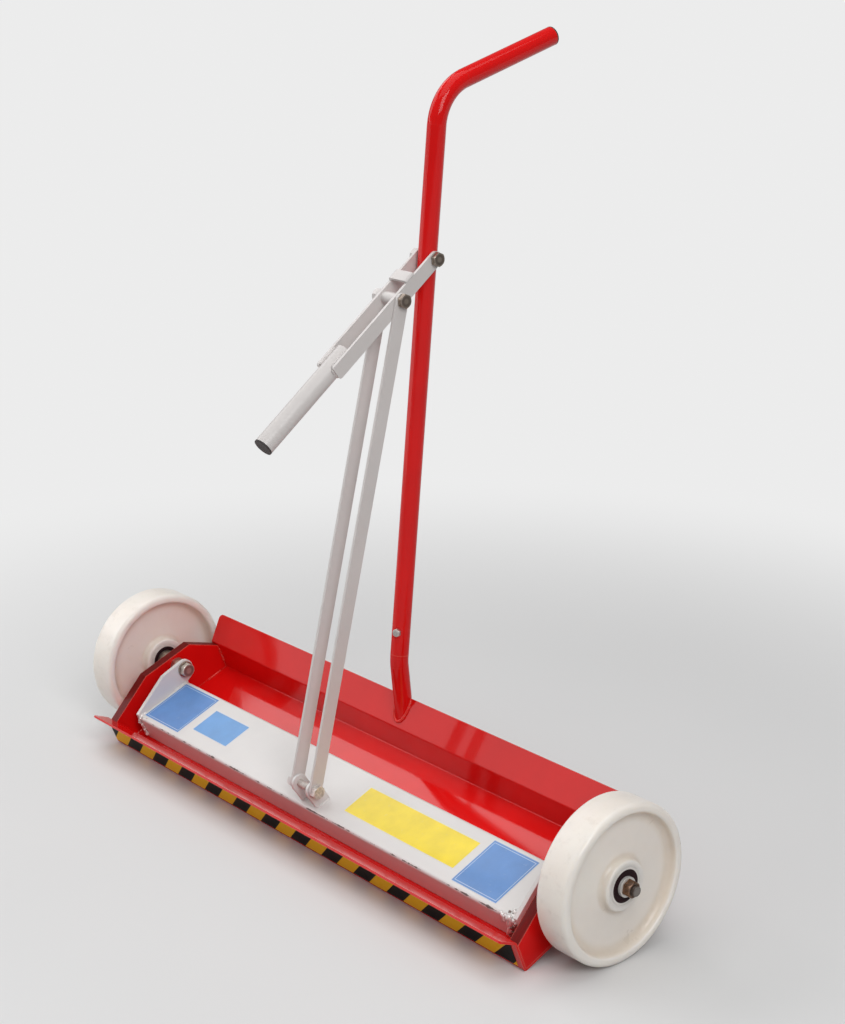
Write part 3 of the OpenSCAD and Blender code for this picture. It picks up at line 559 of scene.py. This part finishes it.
def dark_steel(colours):
    """Bearing with a ground outer ring, a dark rubber seal and a groove beside its lip."""
    metal = Finish("bearing_steel_and_seal", IOR=1.6, Specular_IOR_Level=0.1)
    out = metal.off_axis(ACROSS)
    seal_r, lip_r = 20.4 * MM, 18.4 * MM
    ring = metal.step(out, seal_r, seal_r + 0.3 * MM)
    lip = metal.step(metal.size(out - lip_r), 0.8 * MM, 0.4 * MM)
    film = metal.noise(75, 5, 0.65)
    colour = metal.tone(film, shade(colours.dark_steel, 0.7), shade(colours.dark_steel, 1.5))
    colour = metal.mix(ring, colour, GROUND_RING)
    return metal.paint(Base_Color=colour, Metallic=0.02 + 0.20 * ring,
                       Roughness=0.55 + 0.15 * film - 0.12 * ring,
                       Normal=metal.bump(lip + 0.2 * film, 0.3 * MM, 0.6))


def ferrite(colours):
    """Ground ceramic of the hidden magnet blocks."""
    block = Finish("ground_ferrite", IOR=1.9)
    grit = block.noise(700, 4, 0.6)
    ground = block.noise(8, 3, 0.6, (2, 90, 90))
    colour = block.tone(grit, shade(colours.ferrite, 0.75), shade(colours.ferrite, 1.4))
    return block.paint(Base_Color=colour, Metallic=0.2 + 0.2 * grit, Roughness=0.52 + 0.2 * ground,
                       Normal=block.bump(grit + ground, 0.05 * MM, 0.5))


def plug_plastic(colours):
    """Matt moulded plastic with a fine spark texture."""
    skin = Finish("black_plug_plastic", IOR=1.48)
    spark = skin.noise(1300, 3, 0.6)
    dust = skin.noise(110, 5, 0.65)
    colour = skin.mix(0.22 * dust, tuple(colours.plug), PLUG_DUST)
    return skin.paint(Base_Color=colour, Roughness=0.48 + 0.2 * dust,
                      Normal=skin.bump(spark, 0.05 * MM, 0.5))


def hazard_stripes(colours, trim):
    """Plastic tape with slanted stripes, rubbed at its edges and dusty at its foot."""
    tape = Finish("hazard_tape", IOR=1.47, Specular_IOR_Level=0.05)
    across, up = tape.along(ACROSS), tape.along(UPWARD)
    turn = (across - up * trim.stripe_slope - trim.stripe_shift) / trim.stripe_pitch % 1.0
    ragged = 0.006 * tape.noise(500, 2)
    yellow = tape.step(tape.size(turn - 0.5), 0.2525 + ragged, 0.2485 + ragged)
    wear = tape.step(tape.noise(85, 6, 0.7), 0.54, 0.74)
    rim = tape.most(tape.step(up, trim.tape_low + 4 * MM, trim.tape_low),
                    tape.step(up, trim.tape_high - 2 * MM, trim.tape_high))
    colour = tape.mix(yellow, tuple(colours.tape_black), tuple(colours.tape_yellow))
    colour = tape.mix(wear * (0.03 + 0.3 * rim), colour, TAPE_DUST)
    crease = tape.noise(40, 3, 0.5, (0.6, 3, 3))
    return tape.paint(Base_Color=colour, Roughness=0.42 + 0.22 * wear, Coat_Weight=0.04 - 0.03 * wear,
                      Normal=tape.bump(crease + 0.2 * tape.noise(600, 2), 0.25 * MM, 0.4))


def label_print(name, colour, middle, half, trim, border):
    """Glossy label: one plain colour, faded and scuffed a little, with a pale line where border is true."""
    film = Finish(name, IOR=1.48, Coat_Roughness=0.1)
    aside = film.size(film.along(ACROSS) - middle[0])
    ahead = film.size(film.along(REARWARD) - middle[1])
    inset = film.least(half[0] - aside, half[1] - ahead)
    fade = film.noise(24, 4, 0.6)
    scuff = film.step(film.noise(130, 6, 0.72), 0.58, 0.72)
    face = film.tone(fade, shade(colour, 0.90), shade(colour, 1.10))
    if border:
        line = film.step(film.size(inset - trim.border_in), trim.border_w * 0.62, trim.border_w * 0.38)
        face = film.mix(line * 0.75, face, LABEL_LINE)
    face = film.mix(film.step(inset, 0.9 * MM, 0.4 * MM) * 0.7, face, LABEL_RIM)
    face = film.mix(scuff * 0.13, face, LABEL_SCUFF)
    return film.paint(Base_Color=face, Roughness=0.30 + 0.12 * fade + 0.2 * scuff,
                      Coat_Weight=0.35 - 0.2 * scuff,
                      Normal=film.bump(film.noise(60, 3), 0.1 * MM, 0.25))


def bare_weld(name, bright, dark, paint):
    """Weld metal that lost most of its paint: a bright colour that paints glints on its ripples, and dark
    seams of painted shade.
    """
    metal = Finish(name, IOR=2.0)
    # Dark seams in noisy patches: painted shade
    gap_shade = metal.step(metal.noise(240, 5, 0.7), 0.54, 0.66)
    left = metal.step(metal.noise(130, 4, 0.6), 0.46, 0.56)
    colour = metal.mix(gap_shade, bright, dark)
    colour = metal.mix(left, colour, paint)
    return metal.paint(Base_Color=colour, Metallic=0.3 - 0.2 * left, Roughness=0.30 + 0.25 * gap_shade,
                       Normal=metal.bump(gap_shade + left, 0.2 * MM, 0.7))


def dress(material, *nodes):
    """Gives CAD nodes their finish."""
    for name in nodes:
        mesh = frame["nodes"][name].data
        mesh.materials.clear()
        mesh.materials.append(material)


def dressed(node):
    """Finish that a CAD node already has."""
    return frame["nodes"][node].data.materials[0]


def smooth_group():
    """Node group that shades a whole mesh smooth."""
    group = bpy.data.node_groups.get("shade_smooth")
    if group is None:
        group = bpy.data.node_groups.new("shade_smooth", "GeometryNodeTree")
        group.interface.new_socket("Geometry", in_out="INPUT", socket_type="NodeSocketGeometry")
        group.interface.new_socket("Geometry", in_out="OUTPUT", socket_type="NodeSocketGeometry")
        start, end = group.nodes.new("NodeGroupInput"), group.nodes.new("NodeGroupOutput")
        smooth = group.nodes.new("GeometryNodeSetShadeSmooth")
        group.links.new(start.outputs[0], smooth.inputs["Geometry"])
        group.links.new(smooth.outputs[0], end.inputs[0])
    return group


def soften(width, *nodes):
    """Rounds the sharp edges of CAD nodes with modifiers, so that they catch the light."""
    for name in nodes:
        stack = frame["nodes"][name].modifiers
        stack.new("join", "WELD").merge_threshold = 2e-6
        flats = stack.new("flats", "DECIMATE")
        flats.decimate_type = "DISSOLVE"
        flats.angle_limit = math.radians(0.5)
        edge = stack.new("edge", "BEVEL")
        edge.width = width
        edge.segments = 2
        edge.limit_method = "ANGLE"
        edge.angle_limit = math.radians(40)
        stack.new("smooth", "NODES").node_group = smooth_group()
        stack.new("shading", "WEIGHTED_NORMAL").weight = 60


def new_piece(name, shape, body, material):
    """Turns a bmesh in the row frame into a piece that rides on a CAD body and has sharp folds."""
    sharp = math.radians(40)
    bmesh.ops.recalc_face_normals(shape, faces=shape.faces)
    for face in shape.faces:
        face.smooth = True
    for edge in shape.edges:
        edge.smooth = edge.calc_face_angle(0) < sharp
    mesh = bpy.data.meshes.new(name)
    shape.to_mesh(mesh)
    shape.free()
    mesh.materials.append(material)
    piece = bpy.data.objects.new(name, mesh)
    bpy.context.scene.collection.objects.link(piece)
    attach(piece, body)
    return piece


def rounded(points, radii, steps):
    """Closed outline whose corners are arcs of the given radii."""
    outline = []
    for i, corner in enumerate(points):
        if radii[i] == 0:
            outline.append(corner)
            continue
        back = (points[i - 1] - corner).normalized()
        on = (points[(i + 1) % len(points)] - corner).normalized()
        half = back.angle(on) / 2
        centre = corner + (back + on).normalized() * (radii[i] / math.sin(half))
        reach = radii[i] / math.tan(half)
        start = (corner + back * reach - centre).normalized()
        end = (corner + on * reach - centre).normalized()
        sweep = math.pi - 2 * half
        side = end - start * start.dot(end)
        side.normalize()
        for k in range(steps + 1):
            angle = sweep * k / steps
            outline.append(centre + radii[i] * (start * math.cos(angle) + side * math.sin(angle)))
    return outline


def wheel_shape(wheel, middle):
    """Lathe of a wheel's half section about the axle."""
    w, web, seat = wheel.width / 2, wheel.web / 2, wheel.width / 2 - wheel.seat_depth
    half = [(wheel.bore_r, -seat), (wheel.seat_r, -seat), (wheel.seat_r, -w), (wheel.hub_r, -w),
            (wheel.hub_r + wheel.draft, -web), (wheel.rim_r - wheel.draft, wheel.web_fall - web),
            (wheel.rim_r, -w), (wheel.tread_r, -w)]
    turns = [0, 0, wheel.seat_edge_r, wheel.hub_edge_r, wheel.hub_foot_r, wheel.rim_foot_r, wheel.lip_r,
             wheel.tread_edge_r]
    points = [Vector(p) for p in half] + [Vector((r, -x)) for r, x in reversed(half)]
    outline = rounded(points, turns + turns[::-1], 12)
    shape = bmesh.new()
    centre = Vector((middle, AXLE.y, AXLE.z))
    ring = [shape.verts.new(centre + Vector((x, 0, r))) for r, x in outline]
    lines = [shape.edges.new((ring[i - 1], ring[i])) for i in range(len(ring))]
    bmesh.ops.spin(shape, geom=ring + lines, cent=centre, axis=ACROSS, angle=math.tau, steps=160,
                   use_merge=True)
    bmesh.ops.remove_doubles(shape, verts=shape.verts, dist=1e-6)
    return shape


def plate_shape(outline, lift):
    """Thin plate from an outline of points, thickened by lift."""
    shape = bmesh.new()
    base = shape.faces.new([shape.verts.new(p) for p in outline])
    raised = bmesh.ops.extrude_face_region(shape, geom=[base])["geom"]
    corners = [part for part in raised if isinstance(part, bmesh.types.BMVert)]
    bmesh.ops.translate(shape, vec=lift, verts=corners)
    return shape


def walk(path, gap):
    """Points along a path at even distances, with the direction at each."""
    spots, spare = [], 0.0
    for start, end in zip(path, path[1:]):
        way = end - start
        run = way.length
        while spare <= run:
            spots.append((start + way * (spare / run), way.normalized()))
            spare += gap
        spare -= run
    return spots


def bead_shape(path, radius, ripple, seed):
    """Rippled weld bead swept along a path, drawn in at both ends."""
    rng = random.Random(seed)
    rings, sides = 5, 10
    gap = ripple / rings
    spots = walk(path, gap)
    rolls = [1 + rng.uniform(-0.10, 0.10) for _ in range(len(spots) // rings + 2)]
    shape, before = bmesh.new(), None
    for i, (centre, way) in enumerate(spots):
        phase = i / rings
        swell = rolls[int(phase)] * (0.84 + 0.16 * (phase % 1.0) ** 0.5)
        ends = min(1.0, 0.45 + 0.55 * min(i, len(spots) - 1 - i) * gap / radius)
        aside = way.orthogonal().normalized()
        turn = Matrix.Rotation(math.tau / sides, 3, way)
        ring = []
        for _ in range(sides):
            ring.append(shape.verts.new(centre + aside * radius * swell * ends))
            aside = turn @ aside
        if before is None:
            shape.faces.new(ring[::-1])
        else:
            shift = min(range(sides), key=lambda k: (ring[k].co - before[0].co).length)
            ring = ring[shift:] + ring[:shift]
            for k in range(sides):
                shape.faces.new((before[k - 1], before[k], ring[k], ring[k - 1]))
        before = ring
    shape.faces.new(before)
    return shape


def lump_shape(spots, seed):
    """Cluster of weld lumps: uneven drops of metal that run into each other."""
    rng = random.Random(seed)
    shape = bmesh.new()
    for centre, radius in spots:
        drop = bmesh.ops.create_icosphere(shape, subdivisions=3, radius=radius)["verts"]
        shift = Vector((rng.random(), rng.random(), rng.random())) * 50
        for vert in drop:
            way = vert.co / radius
            rough = noise.noise(way * 1.4 + shift) + 0.5 * noise.noise(way * 3.5 + shift)
            vert.co = centre + vert.co * (1 + 0.38 * rough)
    return shape


class SWEEPER_OT_red_frame(Operator):
    """Paint the tray, the end plates and the mast red."""

    bl_idname = "sweeper.red_frame"
    bl_label = "Red frame"

    def execute(self, context):
        colours, plates = context.scene.sweeper_colours, ("end_plate_left", "end_plate_right")
        dress(red_paint(colours, "red_tray_paint", 0.36), "tray")
        dress(red_paint(colours, "red_tube_paint", 0.17), "mast_stub", "mast_spigot", "mast_tube")
        dress(red_paint(colours, "red_plate_paint", 0.09, shaded_edges=True), *plates)
        soften(context.scene.sweeper_trim.edge, "tray", *plates)
        return {"FINISHED"}


class SWEEPER_OT_white_linkage(Operator):
    """Paint the magnet bar, the lever and the links white."""

    bl_idname = "sweeper.white_linkage"
    bl_label = "White linkage"

    def execute(self, context):
        colours, edge = context.scene.sweeper_colours, context.scene.sweeper_trim.edge
        bars = ("lever_bar_left", "lever_bar_right", "lever_bridge", "link_left", "link_right")
        plates = ("lift_lug_left", "lift_lug_right", "ear_plate_left", "ear_plate_right")
        dress(white_paint("white_lever_paint", tuple(colours.lever_white)), "lever_spacer", "grip_tube",
              "lever_pivot_nut", "link_nut", *bars)
        dress(white_paint("white_plate_paint", tuple(colours.white)), "lift_nut", *plates)
        dress(white_paint("white_housing_paint", tuple(colours.white), worn_edge=True), "magnet_housing")
        soften(edge, "magnet_housing", *bars, *plates)
        return {"FINISHED"}


class SWEEPER_OT_wheels(Operator):
    """Turn the two nylon wheels."""

    bl_idname = "sweeper.wheels"
    bl_label = "Wheels"

    def execute(self, context):
        wheel = context.scene.sweeper_wheel
        material = nylon(context.scene.sweeper_colours, wheel)
        for side in SIDES:
            node = f"wheel_{side}"
            low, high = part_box(node)
            shape = wheel_shape(wheel, (low.x + high.x) / 2)
            piece = new_piece(f"nylon_wheel_{side}", shape, f"{side}_wheel", material)
            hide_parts(node)
        return {"FINISHED"}


class SWEEPER_OT_fasteners(Operator):
    """Plate the bolts, nuts, washers, bushes and bearings."""

    bl_idname = "sweeper.fasteners"
    bl_label = "Fasteners and bearings"

    def execute(self, context):
        colours = context.scene.sweeper_colours
        axle = [(AXLE, *AXLE_THREAD)]
        cross = [(pin, *PIN_THREAD) for pin in (LEVER_PIVOT, LINK_PIN, LIFT_PIN)]
        dress(plated("axle_plating", colours.axle_zinc, axle, rust=0.25, shine=0.45, rusty_tip=True),
              "axle_bolts")
        dress(plated("nut_rust", colours.rusty_nut, axle, rust=0.8), "axle_nuts")
        dress(plated("pin_plating", colours.zinc, cross, rust=0.5), "lever_pivot_bolt", "link_bolt")
        dress(plated("pale_pin_plating", colours.lift_zinc, cross, rust=0.25, shine=0.1, dirt_and_shade=0.2),
              "lift_bolt")
        dress(plated("clamp_plating", colours.clamp_zinc, rust=0.2), "clamp_bolt", "clamp_nut")
        dress(plated("washer_plating", shade(colours.zinc, 1.5), rust=0.3), "axle_washers", "pivot_bushes",
              "wheel_spacers")
        dress(bright_steel(colours), "axle_sleeves", "base_plate")
        dress(dark_steel(colours), "bearing_shells_left", "bearing_shells_right", "bearing_inner_rings",
              "yoke_plate")
        dress(ferrite(colours), "magnet_blocks")
        dress(plug_plastic(colours), "handle_plug", "grip_plug")
        soften(context.scene.sweeper_trim.bolt_edge, "axle_bolts", "axle_nuts", "lever_pivot_bolt",
               "lever_pivot_nut", "link_bolt", "link_nut", "lift_bolt", "lift_nut", "handle_plug",
               "grip_plug", "axle_sleeves", "bearing_shells_left", "bearing_shells_right")
        return {"FINISHED"}


class SWEEPER_OT_tape(Operator):
    """Lay the striped tape on the front wall of the tray."""

    bl_idname = "sweeper.tape"
    bl_label = "Striped tape"

    def execute(self, context):
        trim = context.scene.sweeper_trim
        rng = random.Random(5)
        low, high = trim.tape_low / MM, trim.tape_high / MM
        start, end = trim.tape_from / MM, trim.tape_to / MM
        count, wander = 60, 0.25
        across = [start + (end - start) * i / count for i in range(count + 1)]
        foot = [spot(x, TRAY_FRONT, low + rng.uniform(-wander, wander)) for x in across]
        top = [spot(x, TRAY_FRONT, high + rng.uniform(-wander, wander)) for x in reversed(across)]
        shape = plate_shape(foot + top, -REARWARD * trim.tape_t)
        material = hazard_stripes(context.scene.sweeper_colours, trim)
        new_piece("hazard_tape", shape, "frame", material)
        return {"FINISHED"}


class SWEEPER_OT_labels(Operator):
    """Stick the blank labels on the magnet bar."""

    bl_idname = "sweeper.labels"
    bl_label = "Blank labels"

    def execute(self, context):
        trim, colours = context.scene.sweeper_trim, context.scene.sweeper_colours
        corner = trim.label_corner / MM
        seat = HOUSING_TOP + 0.05
        for name, (ink, left, right, front, rear, border) in LABELS.items():
            square = [Vector(p) for p in ((left, front), (right, front), (right, rear), (left, rear))]
            outline = [spot(p.x, p.y, seat) for p in rounded(square, [corner] * 4, 6)]
            middle = ((left + right) / 2 * MM, (front + rear) / 2 * MM)
            half = ((right - left) / 2 * MM, (rear - front) / 2 * MM)
            material = label_print(f"{name}_film", tuple(getattr(colours, ink)), middle, half, trim, border)
            sheet = plate_shape(outline, UPWARD * trim.label_t)
            new_piece(name, sheet, "magnet_bar", material)
        return {"FINISHED"}


class SWEEPER_OT_frame_welds(Operator):
    """Lay the red weld beads at the mast's foot and in the tray's corners."""

    bl_idname = "sweeper.frame_welds"
    bl_label = "Welds on the frame"

    def execute(self, context):
        material = dressed("tray")
        ripple = context.scene.sweeper_trim.ripple
        foot = bead_shape(self.round_mast_foot(), 2.4 * MM, ripple, 1)
        new_piece("weld_mast_foot", foot, "frame", material)
        lines = {"front": ((-104, TRAY_FLOOR), (-74, TRAY_FLOOR)),
                 "middle": ((-34, TRAY_FLOOR), (-4, TRAY_FLOOR)),
                 "rear": ((36, TRAY_FLOOR), (64, TRAY_FLOOR)),
                 "wall": ((TRAY_REAR_WALL, -46), (TRAY_REAR_WALL, -20))}
        for name, side in SIDES.items():
            for part, line in lines.items():
                path = [spot(side * PLATE_FACE, rear, up) for rear, up in line]
                bead = bead_shape(path, 2.0 * MM, ripple, len(part) + 3 * side)
                new_piece(f"weld_plate_{name}_{part}", bead, "frame", material)
        return {"FINISHED"}

    @staticmethod
    def round_mast_foot():
        """Path of the bead on the rear flange, round the lower part of the stub's slanted end."""
        middle, half_length, half_width, lift = 34, 26, 13.2, 0.4
        first, last, steps = 67, 293, 72
        path = []
        for k in range(steps + 1):
            turn = math.radians(first + (last - first) * k / steps)
            run = middle + half_length * math.cos(turn)
            rear = FLANGE_FOOT[0] + run * math.cos(FLANGE_SLOPE) - lift
            up = FLANGE_FOOT[1] + run * math.sin(FLANGE_SLOPE) + lift
            path.append(spot(half_width * math.sin(turn), rear, up))
        return path


class SWEEPER_OT_bar_welds(Operator):
    """Lay the weld beads of the ears and the lugs on the magnet bar."""

    bl_idname = "sweeper.bar_welds"
    bl_label = "Welds on the magnet bar"

    def execute(self, context):
        ripple = context.scene.sweeper_trim.ripple
        white = tuple(context.scene.sweeper_colours.white)
        painted = dressed("ear_plate_left")
        # Silvery weld metal lightened as painted glints; the dark material stands for painted shade in the
        # gaps between lumps
        bare_glint = bare_weld("bare_weld_metal", (0.86, 0.84, 0.82), (0.10, 0.06, 0.05), white)
        gap_shade = bare_weld("burnt_weld_metal", (0.30, 0.25, 0.23), (0.06, 0.035, 0.03), (0.20, 0.15, 0.13))
        rng = random.Random(8)
        for name, side in SIDES.items():
            lumps = self.corner_lumps(rng, side)
            seam = [spot(side * (EAR_FACE + 0.2), rear, HOUSING_TOP + 0.1) for rear in (-96.5, -90, -84)]
            ridge = [spot(side * EAR_FACE, rear, HOUSING_TOP + 0.3) for rear in (-30, -18, -5)]
            self.lay(f"weld_corner_{name}", lump_shape(lumps[::2], 11 + side), bare_glint)
            # On the right corner every second lump is dark: painted shade between the glinting lumps
            self.lay(f"weld_burnt_{name}", lump_shape(lumps[1::2], 13 + side), gap_shade if side > 0 else bare_glint)
            self.lay(f"weld_corner_top_{name}", bead_shape(seam, 2.4 * MM, ripple, 15 + side), bare_glint)
            self.lay(f"weld_ear_{name}", bead_shape(ridge, 2.0 * MM, ripple, 19 + side), painted)
            if side > 0:
                for k, points in enumerate(CORNER_PASSES):
                    path = [spot(*point) for point in points]
                    self.lay(f"weld_pass_{k}", bead_shape(path, 2.9 * MM, 2.4 * ripple, 41 + k), bare_glint)
            for face, across in LUG_FACES.items():
                path = [spot(side * across, rear, HOUSING_TOP + 0.2) for rear in (-89.5, -78, -66.5)]
                self.lay(f"weld_lug_{name}_{face}", bead_shape(path, 1.7 * MM, ripple, 23 + side), painted)
        return {"FINISHED"}

    @staticmethod
    def lay(name, shape, material):
        """Adds a weld to the magnet bar."""
        new_piece(name, shape, "magnet_bar", material)

    @staticmethod
    def corner_lumps(rng, side):
        """Places and radii of lumps down a front corner and on top of it; the right corner has more."""
        down, top, stray = (22, 9, 15) if side > 0 else (8, 2, 3)
        lumps = []
        for k in range(down):
            across = 395 - stray * k / down + rng.uniform(-4, 3)
            rear = HOUSING_FRONT + rng.uniform(-1.5, 0.2)
            lumps.append((spot(side * across, rear, -22 - 30 * k / down), rng.uniform(1.6, 2.9) * MM))
        for _ in range(top):
            across = rng.uniform(380, 398)
            rear = HOUSING_FRONT + rng.uniform(0, 8)
            lumps.append((spot(side * across, rear, HOUSING_TOP - 0.5), rng.uniform(1.4, 2.4) * MM))
        return lumps


class SWEEPER_OT_lever_welds(Operator):
    """Lay the weld beads of the grip tube and the bridge on the lever bars."""

    bl_idname = "sweeper.lever_welds"
    bl_label = "Welds on the lever"

    def execute(self, context):
        material = dressed("lever_bar_left")
        ripple = context.scene.sweeper_trim.ripple
        bar_end, bar_face, tube_side, tube_run = 206.3, 13.1, (11, 9), (174, 190, 204)
        strap_edges, strap_top, strap_run = (38.3, 54.7), 10.2, (13.2, 16.4)
        for name, side in SIDES.items():
            x, up = side * tube_side[0], tube_side[1]
            near, far = ([lever_spot(side * across, edge, strap_top) for across in strap_run]
                         for edge in strap_edges)
            paths = {"end": [lever_spot(side * bar_face, bar_end, height) for height in (-7, 0, 7)],
                     "over": [lever_spot(x, along, up) for along in tube_run],
                     "under": [lever_spot(x, along, -up) for along in tube_run],
                     "strap_near": near,
                     "strap_far": far}
            for part, path in paths.items():
                radius = 1.2 * MM if part.startswith("strap") else 2.0 * MM
                bead = bead_shape(path, radius, ripple, 31 + side)
                new_piece(f"weld_lever_{name}_{part}", bead, "lever", material)
        return {"FINISHED"}


class SWEEPER_OT_stage(Operator):
    """Set up the floor, the soft lamps and the camera."""

    bl_idname = "sweeper.stage"
    bl_label = "Stage"

    def execute(self, context):
        scene, stage = context.scene, context.scene.sweeper_stage
        self.lay_floor(scene, stage)
        self.hang_lamps(scene, stage)
        view = bpy.data.cameras.new("camera")
        view.lens = stage.lens
        view.sensor_width = SENSOR_WIDTH
        camera = bpy.data.objects.new("camera", view)
        camera.location = stage.camera_at
        camera.rotation_euler = stage.camera_turn
        scene.collection.objects.link(camera)
        scene.camera = camera
        scene.view_settings.view_transform = "Standard"
        return {"FINISHED"}

    @staticmethod
    def lay_floor(scene, stage):
        """Wide floor, paler for the eye and in mirrors than in the light that it throws back."""
        ground = Finish("pale_floor", Roughness=0.6)
        tone = ground.tone(ground.noise(1.5, 3), shade(stage.floor, 0.99), shade(stage.floor, 1.01))
        ray = ground.node("ShaderNodeLightPath", out="Is Camera Ray")
        for kind in ("Is Glossy Ray", "Is Transmission Ray"):
            ray = ray + ground.node("ShaderNodeLightPath", out=kind)
        ground.paint(Base_Color=ground.mix(ray, tuple(stage.floor_bounce), tone))
        away = ground.node("ShaderNodeVectorMath", {"operation": "LENGTH"}, {0: ground.place}, "Value")
        glow = ground.node("ShaderNodeEmission", None, {"Color": (1, 1, 1), "Strength": stage.far})
        ground.blend(glow, ground.step(away, stage.far_from, stage.far_to) * ray)
        shape = bmesh.new()
        bmesh.ops.create_grid(shape, x_segments=8, y_segments=8, size=60)
        mesh = bpy.data.meshes.new("floor")
        shape.to_mesh(mesh)
        shape.free()
        mesh.materials.append(ground.material)
        floor = bpy.data.objects.new("floor", mesh)
        floor.location.z = -0.2 * MM
        scene.collection.objects.link(floor)

    @staticmethod
    def hang_lamps(scene, stage):
        """Even sky, three soft lamps and two weak panels that the paint mirrors."""
        world = bpy.data.worlds.new("even_sky")
        world.use_nodes = True
        sky = world.node_tree.nodes["Background"]
        sky.inputs["Color"].default_value = (1, 1, 1, 1)
        sky.inputs["Strength"].default_value = stage.sky
        scene.world = world
        for name, (wide, high, place) in LAMPS.items():
            light = bpy.data.lights.new(name, "AREA")
            light.energy = getattr(stage, name)
            light.shape = "RECTANGLE"
            light.size = wide
            light.size_y = high
            lamp = bpy.data.objects.new(name, light)
            lamp.location = place
            lamp.rotation_euler = (LAMP_TARGET - lamp.location).to_track_quat("-Z", "Y").to_euler()
            scene.collection.objects.link(lamp)


STEPS = (SWEEPER_OT_red_frame, SWEEPER_OT_white_linkage, SWEEPER_OT_wheels, SWEEPER_OT_fasteners,
         SWEEPER_OT_tape, SWEEPER_OT_labels, SWEEPER_OT_frame_welds, SWEEPER_OT_bar_welds,
         SWEEPER_OT_lever_welds, SWEEPER_OT_stage)


class SWEEPER_PT_looks(Panel):
    """Sidebar panel with the sizes, the colours and the steps."""

    bl_idname = "SWEEPER_PT_looks"
    bl_label = "Sweeper looks"
    bl_space_type = "VIEW_3D"
    bl_region_type = "UI"
    bl_category = "Sweeper"

    def draw(self, context):
        scene = context.scene
        for group in (scene.sweeper_colours, scene.sweeper_wheel, scene.sweeper_trim, scene.sweeper_stage):
            box = self.layout.box()
            for key in group.__annotations__:
                box.prop(group, key)
        for step in STEPS:
            self.layout.operator(step.bl_idname)


GROUPS = {"sweeper_colours": SweeperColours, "sweeper_wheel": SweeperWheel, "sweeper_trim": SweeperTrim,
          "sweeper_stage": SweeperStage}


def register():
    for made in (*GROUPS.values(), *STEPS, SWEEPER_PT_looks):
        bpy.utils.register_class(made)
    for name, group in GROUPS.items():
        setattr(bpy.types.Scene, name, PointerProperty(type=group))


def unregister():
    for name in GROUPS:
        delattr(bpy.types.Scene, name)
    for made in reversed((*GROUPS.values(), *STEPS, SWEEPER_PT_looks)):
        bpy.utils.unregister_class(made)


def main():
    register()
    for step in STEPS:
        group, name = step.bl_idname.split(".")
        getattr(getattr(bpy.ops, group), name)()


if __name__ == "__main__":
    main()
